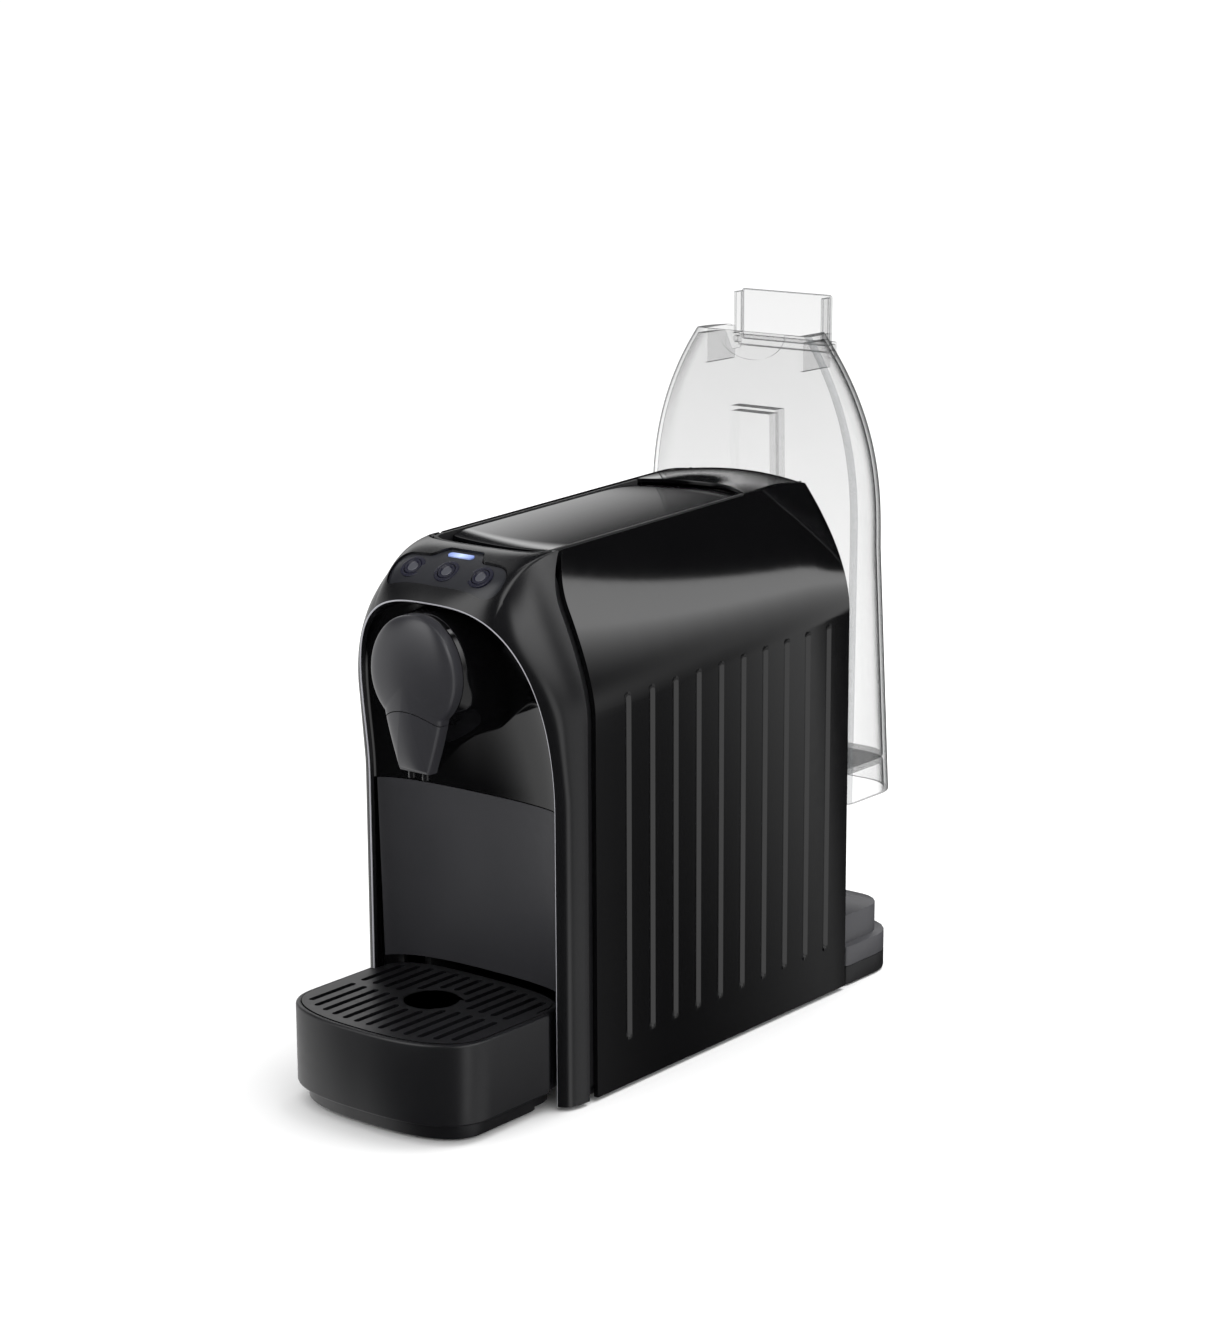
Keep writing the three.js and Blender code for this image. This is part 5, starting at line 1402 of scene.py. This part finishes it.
@dataclass(frozen=True)
class DripTray:
    """The drip tray with its slotted grid."""

    half: float = 56.0
    front: float = 95.0
    shoulder: float = 64.0
    power: float = 2.6
    top: float = 48.0
    low: float = 1.0
    step: float = 9.0
    inset: float = 5.0
    wall: float = 2.4
    ledge: float = 3.0
    stop: float = 24.5
    rear_half: float = 53.2
    rear_power: float = 3.0
    rear_depth: float = 21.0
    rear_start: float = 22.5
    grid_thick: float = 2.4
    hole: float = 12.0
    hole_place: float = -43.0
    columns: int = 13
    pitch: float = 7.4
    slot: float = 3.2
    bridge: float = 4.0
    bridge_place: float = -48.0
    rim: float = 5.0
    rim_rear: float = 3.5
    ring: float = 16.5

    def plan(self, inset: float) -> np.ndarray:
        """Works out the tray's outline: a superellipse in front, straight sides, a step, and a
        superellipse behind.

        Args:
            inset: How far the outline is moved inwards.

        Returns:
            The outline in plan, counter-clockwise.
        """
        turn = math.pi * (1 + np.linspace(0, 1, 121))
        x, y = superellipse(turn, self.half - inset, self.front - self.shoulder - inset, self.power)
        front = np.stack([x, y - self.shoulder], axis=-1)
        x, y = superellipse(turn - math.pi, self.rear_half - inset, self.rear_depth - inset,
                            self.rear_power)
        rear = np.stack([x, y - self.rear_start], axis=-1)
        stop = -self.stop - inset
        right = np.array([[self.half - inset, stop], [self.rear_half - inset, stop]])
        return np.concatenate([front, right, rear, right[::-1] * [-1, 1]])

    def tray(self) -> Solid:
        """Returns the tray as rings: up the plinth and the wall, over the rounded rim, and down to the
        floor."""
        levels = [(self.inset + 0.8, self.low), (self.inset, self.low + 0.8), (self.inset, self.step - 0.6),
                  (self.inset - 0.4, self.step), (1.2, self.step), (0.35, self.step + 0.35),
                  (0.0, self.step + 1.2), (0.0, self.top - 1.4), (0.12, self.top - 0.8),
                  (0.42, self.top - 0.36), (0.9, self.top - 0.08),
                  (1.3, self.top), (self.wall - 0.3, self.top), (self.wall, self.top - 0.3),
                  (self.wall, self.top - self.grid_thick - 0.3),
                  (self.wall + self.ledge, self.top - self.grid_thick - 0.3),
                  (self.wall + self.ledge, self.step)]
        return loft(np.stack([placed(self.plan(inset), height, Axis.Z) for inset, height in levels]))

    def slots(self, column: int) -> list[Solid]:
        """Works out one column's two slots, which stop at the rim, the bridge and the ring round the hole.

        Args:
            column: Number of the column, 0 in the middle.

        Returns:
            The two slots as solids to take off.
        """
        x = self.pitch * column
        inset = self.wall + 0.3

        def reach(half: float, depth: float, power: float) -> float:
            """Returns how far the outline goes at this column."""
            return (depth - inset) * max(0.0, 1 - (abs(x) / (half - inset)) ** power) ** (1 / power)

        rear = reach(self.rear_half, self.rear_depth, self.rear_power) - self.rear_start - self.rim_rear
        front = -self.shoulder - reach(self.half, self.front - self.shoulder, self.power) + self.rim
        around = math.sqrt(self.ring ** 2 - x ** 2) if abs(x) < self.ring else 0.0
        spans = [(max(self.hole_place + around, self.bridge_place + self.bridge), rear),
                 (front, min(self.hole_place - around, self.bridge_place))]
        return [prism(rounded_box(x - self.slot / 2, x + self.slot / 2, low, high, self.slot / 2 - 0.01, 6),
                      self.top - 6, self.top + 3, Axis.Z) for low, high in spans]

    def build(self, finishes: Finishes) -> None:
        """Builds the tray and its grid."""
        tray = raw_piece("tray_body", [self.tray()])
        dress(tray, finishes.tray, Body.TRAY, ["drip_tray"], 50.0)
        top = self.top + 0.3
        grid = raw_piece("tray_grid", [prism(self.plan(self.wall + 0.3),
                                             top - self.grid_thick - 0.3, top, Axis.Z)])
        hole_rings = ((self.hole, self.top - 6), (self.hole, top - 1.2), (self.hole + 1.2, top),
                      (self.hole + 4.2, top + 3))
        hole = loft(np.stack([placed(circle(radius, 0, self.hole_place, 96), height, Axis.Z)
                              for radius, height in hole_rings]))
        middle = (self.columns - 1) // 2
        cuts = [solid for column in range(-middle, middle + 1) for solid in self.slots(column)]
        combine(grid, cuts, Cut.TAKE_OFF)
        combine(grid, [hole], Cut.TAKE_OFF)
        round_edges(grid, 0.45, 3, 40.0)
        dress(grid, finishes.tray, Body.GRID, ["drip_grid"], 30.0)


@dataclass(frozen=True)
class WaterTank:
    """The clear water tank with its rail channel, mouth, scoop and hinged lid."""

    front: float = 206.0
    wall: float = 2.2
    front_round: float = 4.0
    rear_round: float = 22.0
    low: float = 98.0
    half_low: float = 64.3
    half_waist: float = 65.3
    rear_low: float = 257.0
    rear_waist: float = 245.0
    waist: float = 228.0
    bend: float = 240.0
    taper: float = 0.45
    taper_power: float = 2.4
    lean: float = 10.0
    lean_power: float = 1.7
    top: float = 336.0
    skirt: float = 15.6
    floor: float = 3.0
    roof: float = 3.0
    mouth_half: float = 29.0
    mouth_rear: float = 232.0
    mouth_low: float = 318.0
    scoop_half: float = 21.0
    scoop_depth: float = 14.0
    scoop_sink: float = 0.9
    rail_low_half: float = 15.6
    rail_top_half: float = 12.0
    rail_top: float = 295.0
    rail_deep: float = 8.0
    valve_place: float = 232.0
    valve_bore: float = 6.0
    axis_y: float = 235.2
    axis_z: float = 327.6
    lid_half: float = 28.2
    lid_length: float = 26.2
    lid_thick: float = 2.0
    lid_rise: float = 0.8
    lid_skirt: float = 6.5
    lid_skirt_wall: float = 1.6
    pin: float = 1.6
    knuckle: float = 2.8
    ear_gap: float = 0.8
    ear_wall: float = 2.5
    ear_reach: float = 5.0

    def half_at(self, z: np.ndarray) -> np.ndarray:
        """Returns the tank's half width at a height: widest at the waist, and drawn in above the bend."""
        rise = np.minimum(1, (z - self.low) / (self.waist - self.low))
        drawn = self.taper * np.maximum(0, (z - self.bend) / (self.top - self.bend)) ** self.taper_power
        return mix(self.half_low, self.half_waist, rise) * (1 - drawn)

    def paint_corner_shade(self, tank: bpy.types.Object) -> None:
        """Paints shade on the two upright front corners: they take the grey of the rounded edges, which
        stands in for the light that the thick corner bends away. These are the faces whose distances from
        the front and from the side add up to less than most of the corner's radius."""
        centres = np.empty(len(tank.data.polygons) * 3)
        tank.data.polygons.foreach_get("center", centres)
        x, y, z = (centres.reshape(-1, 3) / MM + ORIGIN_SHIFT).T
        near = (y - self.front) + (self.half_at(np.clip(z, self.low, self.top))
                                   - np.abs(x)) < self.front_round * 0.72
        tank.data.polygons.foreach_set("material_index", near.astype(int))

    def ring(self, z: float, inset: float) -> np.ndarray:
        """Works out the tank's outline at a height: a flat front with small corners and a rear with
        large ones.

        Args:
            z: The height.
            inset: How far the outline is moved inwards.

        Returns:
            The ring's points.
        """
        rise = min(1.0, (z - self.low) / (self.waist - self.low))
        half = float(self.half_at(np.array(z)))
        rear = mix(self.rear_low, self.rear_waist, rise)
        rear -= self.lean * max(0.0, (z - self.waist) / (self.top - self.waist)) ** self.lean_power
        half, rear, front = half - inset, rear - inset, self.front + inset
        corners = [(half, rear, self.rear_round - inset, 0, 18),
                   (-half, rear, self.rear_round - inset, 1, 18),
                   (-half, front, max(self.front_round - inset, 0.3), 2, 6),
                   (half, front, max(self.front_round - inset, 0.3), 3, 6)]
        parts = []
        for x, y, radius, quarter, count in corners:
            turn = (quarter + np.linspace(0, 1, count + 1)) * math.pi / 2
            middle_x = x - math.copysign(radius, x)
            middle_y = y - radius if quarter < 2 else y + radius
            parts.append(np.stack([middle_x + radius * np.cos(turn), middle_y + radius * np.sin(turn)],
                                  axis=-1))
        return placed(np.concatenate(parts), z, Axis.Z)

    def body(self, inset: float, low: float, high: float, count: int) -> Solid:
        """Returns the tank's form between two heights, moved inwards, with rings closer together towards
        the top."""
        heights = mix(low, high, np.sin(np.linspace(0, 1, count + 1) * math.pi / 2))
        return loft(np.stack([self.ring(z, inset) for z in heights]))

    def channel(self, grow: float, low: float, rear: float, front: float) -> Solid:
        """Returns the rail channel's form, which narrows upwards."""
        outline = np.array([[-self.rail_low_half - grow, low], [self.rail_low_half + grow, low],
                            [self.rail_top_half + grow, self.rail_top + grow],
                            [-self.rail_top_half - grow, self.rail_top + grow]])
        return prism(outline, front, rear, Axis.Y)

    def build(self, finishes: Finishes) -> None:
        """Builds the tank and the lid."""
        tank = raw_piece("tank_shell", [self.body(0.0, self.low, self.top, 60)])
        floor_low = self.low + self.skirt
        combine(tank, [self.body(self.wall, floor_low + self.floor, self.top - self.roof, 56),
                       self.body(self.wall, self.low - 1, floor_low, 4)], Cut.TAKE_OFF)
        rib = raw_piece("channel_wall",
                        [self.channel(self.wall, self.low - self.wall,
                                      self.front + self.rail_deep + self.wall, self.front)])
        combine(rib, [self.body(0.0, self.low, self.top, 60)], Cut.KEEP_COMMON)
        tank_union(tank, rib)
        mouth = [block(sorted((side * self.mouth_half, side * (self.mouth_half + self.wall))),
                       (self.front + self.wall / 2, self.mouth_rear), (self.mouth_low, self.top - 1))
                 for side in (-1, 1)]
        combine(tank, mouth, Cut.ADD)
        ear = rounded_box(self.mouth_rear - self.ear_reach, self.axis_y + self.knuckle,
                          self.axis_z - self.ear_reach,
                          self.axis_z + self.knuckle + 0.3, self.knuckle - 0.3, 6)
        ears = [prism(ear, *sorted((side * (self.lid_half + self.ear_gap),
                                    side * (self.lid_half + self.ear_gap + self.ear_wall))),
                      Axis.X) for side in (-1, 1)]
        combine(tank, ears, Cut.ADD)
        combine(tank, [self.channel(0.0, self.low - 1, self.front + self.rail_deep, self.front - 1)],
                Cut.TAKE_OFF)
        x, z = superellipse(math.pi * (1 + np.linspace(0, 1, 49)), self.scoop_half, self.scoop_depth, 2)
        scoop = np.concatenate([np.stack([x, self.top + z], axis=-1),
                                [[self.scoop_half, self.top + 1], [-self.scoop_half, self.top + 1]]])
        combine(tank, [prism(scoop, self.front - 1, self.front + self.scoop_sink, Axis.Y)], Cut.TAKE_OFF)
        combine(tank, [block((-self.mouth_half, self.mouth_half),
                             (self.front + self.wall, self.mouth_rear + self.wall),
                             (self.mouth_low, self.top + 1))], Cut.TAKE_OFF)
        notch = self.lid_half + self.ear_gap
        combine(tank, [block((-notch, notch), (self.mouth_rear - self.wall, self.rear_low),
                             (self.axis_z - self.knuckle - 0.3, self.top + 1))], Cut.TAKE_OFF)
        combine(tank, [prism(circle(self.pin + 0.3, self.axis_y, self.axis_z, 32), -60, 60, Axis.X)],
                Cut.TAKE_OFF)
        combine(tank, [prism(circle(self.valve_bore, 0, self.valve_place, 48), self.low,
                             floor_low + self.floor + 1, Axis.Z)],
                Cut.TAKE_OFF)
        # The rounded edges and the two front corners take the second material, grey painted shade for the
        # light that the thick plastic bends away there.
        round_edges(tank, 0.55, 2, 50.0, 1)
        dress(tank, finishes.clear, Body.TANK, ["water_tank"], 30.0)
        tank.data.materials.append(finishes.clear_painted_edge_shade)
        self.paint_corner_shade(tank)
        self.build_lid(finishes)

    def build_lid(self, finishes: Finishes) -> None:
        """Builds the lid, upright on its hinge."""
        y, z = self.axis_y, self.axis_z
        sheet = rounded_box(-self.lid_half, self.lid_half, z, z + self.lid_length, 1.6, 5)
        lid = raw_piece("lid_plate", [prism(sheet, y + self.lid_rise,
                                            y + self.lid_rise + self.lid_thick, Axis.Y)])
        # The lid's rounded edges take the grey painted edge shade.
        round_edges(lid, 0.6, 2, 50.0, 1)
        dress(lid, finishes.clear, Body.LID, ["tank_lid"], 30.0)
        lid.data.materials.append(finishes.clear_painted_edge_shade)
        sides = [block(sorted((side * self.lid_half, side * (self.lid_half - self.lid_skirt_wall))),
                       (y + self.lid_rise - self.lid_skirt, y + self.lid_rise + 0.05),
                       (z + self.knuckle + self.ear_gap, z + self.lid_length - 1))
                 for side in (-1, 1)]
        skirts = raw_piece("lid_skirts", sides)
        # The skirts' rounded edges take the grey painted edge shade.
        round_edges(skirts, 0.5, 2, 50.0, 1)
        dress(skirts, finishes.clear, Body.LID)
        skirts.data.materials.append(finishes.clear_painted_edge_shade)
        reach = self.lid_half + self.ear_gap + self.ear_wall
        places = [(-reach, self.pin), (-self.lid_half, self.pin), (-self.lid_half, self.knuckle),
                  (self.lid_half, self.knuckle),
                  (self.lid_half, self.pin), (reach, self.pin)]
        hinge = loft(np.stack([placed(circle(radius, y, z, 32), place, Axis.X)
                               for place, radius in places]))
        dress(raw_piece("lid_hinge_bar", [hinge]), finishes.clear, Body.LID)


def tank_union(piece: bpy.types.Object, other: bpy.types.Object) -> None:
    """Joins another object's mesh to a piece as one solid, and removes the other object."""
    cut = piece.modifiers.new("joined", "BOOLEAN")
    cut.operation = Cut.ADD.value
    cut.object = other
    cut.solver = "MANIFOLD"
    settle(piece)
    bpy.data.objects.remove(other)


@dataclass(frozen=True)
class PlainNodes:
    """CAD nodes whose shape is right and which only get their finish."""

    def build(self, finishes: Finishes) -> None:
        """Dresses each node."""
        for nodes, material, radius in (
                (("front_bulkhead", "top_deck", "back_panel", "base_plate"), finishes.matt, 0.5),
                (("tank_dock",), finishes.dock, 0.5),
                (("piston", "tank_valve", "flow_meter"), finishes.matt, 0.3),
                (("outlet_duct", "cord_gland", "dock_seal", "pump_mount_left", "pump_mount_right",
                  "foot_front_left",
                  "foot_rear_left", "foot_front_right", "foot_rear_right"), finishes.rubber, 0.3),
                (("lever_pin", "pump"), finishes.steel, 0.3),
                (("brew_plate", "brew_guide", "thermoblock"), finishes.cast, 0.5),
                (("control_board",), finishes.laminate, 0.0),
                (("hose_dock", "hose_suction", "hose_pressure", "hose_brew"), finishes.silicone, 0.0)):
            for node in nodes:
                dress_node(node, material, radius)


# Studio


@dataclass(frozen=True)
class Card:
    """Bright patch of the studio as the glossy pieces mirror it, by its direction from the machine in
    degrees.

    The azimuth is 0 behind the machine and 90 on its right. The patch lies between a left, a right and
    an upper edge. It grows from nothing at its low height to its full radiance at its full height, and
    that growth may lean. One more straight edge may cut it, where the azimuth times the cosine of a turn
    plus the elevation times its sine is a given number.
    """

    left: float
    right: float
    low: float
    full: float
    high: float
    radiance: float
    growth: float = 1.0
    soft_left: float = 8.0
    soft_right: float = 8.0
    soft_high: float = 6.0
    lean: float = 0.0
    cut_turn: float = 0.0
    cut_place: float = -400.0
    cut_soft: float = 0.8

    def add(self, tree: bpy.types.NodeTree, azimuth: bpy.types.NodeSocket, elevation: bpy.types.NodeSocket,
            ) -> bpy.types.NodeSocket:
        """Adds the patch: a power of the leaning height in it, times a soft step at each edge.

        Args:
            tree: Tree that the nodes join.
            azimuth: Azimuth in radians.
            elevation: Elevation in radians.

        Returns:
            The patch's radiance.
        """
        away = add_node(tree, "ShaderNodeMath", {"operation": "SUBTRACT", 1: math.radians(self.left)},
                        {0: azimuth})
        leaning = add_node(tree, "ShaderNodeMath", {"operation": "MULTIPLY_ADD", 1: -self.lean},
                           {0: away.outputs[0], 2: elevation})
        turn = math.radians(self.cut_turn)
        part = add_node(tree, "ShaderNodeMath", {"operation": "MULTIPLY", 1: math.cos(turn)}, {0: azimuth})
        cutting = add_node(tree, "ShaderNodeMath", {"operation": "MULTIPLY_ADD", 1: math.sin(turn)},
                           {0: elevation, 2: part.outputs[0]})
        height = add_node(tree, "ShaderNodeMapRange", {"From Min": math.radians(self.low),
                                                       "From Max": math.radians(self.full)},
                          {"Value": leaning.outputs[0]})
        grown = add_node(tree, "ShaderNodeMath", {"operation": "POWER", 1: self.growth},
                         {0: height.outputs[0]})
        total = add_node(tree, "ShaderNodeMath", {"operation": "MULTIPLY", 1: self.radiance},
                         {0: grown.outputs[0]})
        for value, off, on in ((cutting.outputs[0], self.cut_place - self.cut_soft,
                                self.cut_place + self.cut_soft),
                               (azimuth, self.left - self.soft_left, self.left + self.soft_left),
                               (azimuth, self.right + self.soft_right, self.right - self.soft_right),
                               (elevation, self.high + self.soft_high, self.high - self.soft_high)):
            step = add_node(tree, "ShaderNodeMapRange", {"interpolation_type": "SMOOTHSTEP",
                                                         "From Min": math.radians(off),
                                                         "From Max": math.radians(on)}, {"Value": value})
            total = add_node(tree, "ShaderNodeMath", {"operation": "MULTIPLY"},
                             {0: total.outputs[0], 1: step.outputs[0]})
        return total.outputs[0]


@dataclass(frozen=True)
class Studio:
    """Plain pale floor, even light, bright cards for the gloss, and the camera at the photograph's
    viewing angle."""

    azimuth: float = 38.84
    elevation: float = 13.3
    roll: float = -0.26
    lens: float = 83.84
    sensor: float = 36.0
    place: tuple[float, float, float] = (0.93532, -1.15149, 0.53359)
    sky: float = 1.2
    dark: float = 0.02
    key_azimuth: float = 28.0
    key_elevation: float = 68.0
    key_distance: float = 2.2
    key_size: float = 1.2
    key_radiance: float = 5.7
    screen_radius: float = 6000.0
    floor_reach: float = 60.0
    paper_clouds: float = 667.0
    cards: tuple[Card, ...] = (
        Card(36, 60, -38, 3, 75, 5.0, growth=4.0, soft_left=60, lean=3.26, cut_turn=-4.87, cut_place=35.69,
             cut_soft=0.2),
        Card(60, 124, 4, 34, 50, 2.2),
        Card(92, 112, -55, -45, 8, 1.2, soft_left=6, soft_right=6),
        Card(42, 84, -60, -50, 4, 0.55, soft_left=4),
        Card(-75, -12, 4.5, 33.5, 28, 6.5, growth=3.0, soft_high=4),
        Card(-132, -50, -60, -45, 14, 0.8, soft_high=8),
        Card(-176, -132, -5, 32, 70, 2.2),
        Card(-112, -50, 30, 45, 85, 0.35),
    )

    def add_camera(self) -> None:
        """Adds the camera from its direction, roll and place."""
        data = bpy.data.cameras.new("photo camera")
        data.sensor_fit = "VERTICAL"
        data.sensor_height = self.sensor
        data.lens = self.lens
        camera = bpy.data.objects.new("photo camera", data)
        bpy.context.scene.collection.objects.link(camera)
        turn, tilt, roll = (math.radians(value) for value in (self.azimuth, self.elevation, self.roll))
        right = Vector((math.cos(turn), math.sin(turn), 0))
        ahead = Vector((-math.sin(turn) * math.cos(tilt), math.cos(turn) * math.cos(tilt), -math.sin(tilt)))
        up = right.cross(ahead)
        right, up = (right * math.cos(roll) + up * math.sin(roll),
                     up * math.cos(roll) - right * math.sin(roll))
        turned = Matrix((right, up, -ahead)).transposed().to_4x4()
        camera.matrix_world = Matrix.Translation(Vector(self.place)) @ turned
        bpy.context.scene.camera = camera

    def add_key(self) -> None:
        """Adds the soft box behind the machine on its right, which lights the floor and which no mirror
        image shows."""
        data = bpy.data.lights.new("key", "AREA")
        data.shape = "SQUARE"
        data.size = self.key_size
        data.energy = self.key_radiance * math.pi * self.key_size ** 2
        light = bpy.data.objects.new("key", data)
        bpy.context.scene.collection.objects.link(light)
        turn, tilt = math.radians(self.key_azimuth), math.radians(self.key_elevation)
        away = Vector((math.sin(turn) * math.cos(tilt), math.cos(turn) * math.cos(tilt), math.sin(tilt)))
        light.location = away * self.key_distance
        light.rotation_euler = away.to_track_quat("Z", "Y").to_euler()
        light.visible_camera = False
        light.visible_glossy = False

    def add_floor(self) -> None:
        """Adds the floor: a wide pale sheet that the glossy pieces don't mirror."""
        mesh = bpy.data.meshes.new("floor")
        reach = self.floor_reach
        mesh.from_pydata([(-reach, -reach, 0), (reach, -reach, 0), (reach, reach, 0), (-reach, reach, 0)],
                         [], [(0, 1, 2, 3)])
        floor = bpy.data.objects.new("floor", mesh)
        bpy.context.scene.collection.objects.link(floor)
        material, tree, place = new_material("matt white paper")
        clouds = add_node(tree, "ShaderNodeTexNoise", {"Scale": waves_per_metre(self.paper_clouds)},
                          {"Vector": place})
        tone = add_node(tree, "ShaderNodeMix", {"data_type": "RGBA", 6: linear("f4f4f4"),
                                                7: linear("f8f8f8")},
                        {0: clouds.outputs[0]})
        shader = add_node(tree, "ShaderNodeBsdfPrincipled", {"Roughness": 0.9, "Specular IOR Level": 0.1},
                          {"Base Color": tone.outputs[2]})
        add_node(tree, "ShaderNodeOutputMaterial", None, {"Surface": shader.outputs[0]})
        mesh.materials.append(material)
        floor.visible_glossy = False

    def add_screen(self) -> None:
        """Adds the screen round the set: only mirror images see it, and it carries the bright cards."""
        radius = self.screen_radius
        turn = np.radians(np.linspace(-88, 88, 45))
        rings = np.stack([placed(circle(radius * c, ORIGIN_SHIFT[0], ORIGIN_SHIFT[1], 64),
                                 radius * s, Axis.Z)
                          for c, s in zip(np.cos(turn), np.sin(turn))])
        screen = raw_piece("studio_screen", [loft(rings, domed=True)])
        material, tree, place = new_material("lit diffusion cloth")
        ray = add_node(tree, "ShaderNodeVectorMath", {"operation": "NORMALIZE"}, {0: place})
        parts = add_node(tree, "ShaderNodeSeparateXYZ", None, {"Vector": ray.outputs[0]})
        azimuth = add_node(tree, "ShaderNodeMath", {"operation": "ARCTAN2"},
                           {0: parts.outputs["X"], 1: parts.outputs["Y"]})
        elevation = add_node(tree, "ShaderNodeMath", {"operation": "ARCSINE"}, {0: parts.outputs["Z"]})
        total: dict[int, bpy.types.NodeSocket] = {}
        for card in self.cards:
            total[1] = card.add(tree, azimuth.outputs[0], elevation.outputs[0])
            total[0] = add_node(tree, "ShaderNodeMath", {"operation": "ADD", 0: self.dark},
                                total).outputs[0]
        shader = add_node(tree, "ShaderNodeEmission", None, {"Strength": total[0]})
        add_node(tree, "ShaderNodeOutputMaterial", None, {"Surface": shader.outputs[0]})
        material.cycles.emission_sampling = "NONE"
        screen.data.materials.append(material)
        screen.visible_camera = False
        screen.visible_diffuse = False
        screen.visible_transmission = False
        screen.visible_volume_scatter = False
        screen.visible_shadow = False

    def add_sky(self) -> None:
        """Adds the even light all round, which the screen keeps out of the mirror images."""
        world = bpy.data.worlds.new("studio")
        bpy.context.scene.world = world
        world.use_nodes = True
        tree = world.node_tree
        tree.nodes.clear()
        sky = add_node(tree, "ShaderNodeBackground", {"Color": (1, 1, 1, 1), "Strength": self.sky})
        add_node(tree, "ShaderNodeOutputWorld", None, {"Surface": sky.outputs[0]})
        world.cycles_visibility.glossy = False

    def build(self) -> None:
        """Builds the studio."""
        self.add_camera()
        self.add_floor()
        self.add_screen()
        self.add_sky()
        self.add_key()
        view = bpy.context.scene.view_settings
        view.view_transform = "Standard"
        view.look = "None"


def main() -> None:
    """Builds every sub-assembly in order."""
    logging.basicConfig(level=logging.INFO, format="%(name)s: %(message)s")
    finishes = Finishes()
    panel = ControlPanel()
    SidePanels().build(finishes)
    FRAME.build(finishes, panel.outline(0.0))
    Niche().build(finishes)
    panel.build(finishes)
    BrewHead().build(finishes)
    Top().build(finishes)
    DripTray().build(finishes)
    WaterTank().build(finishes)
    PlainNodes().build(finishes)
    Studio().build()


if __name__ == "__main__":
    main()
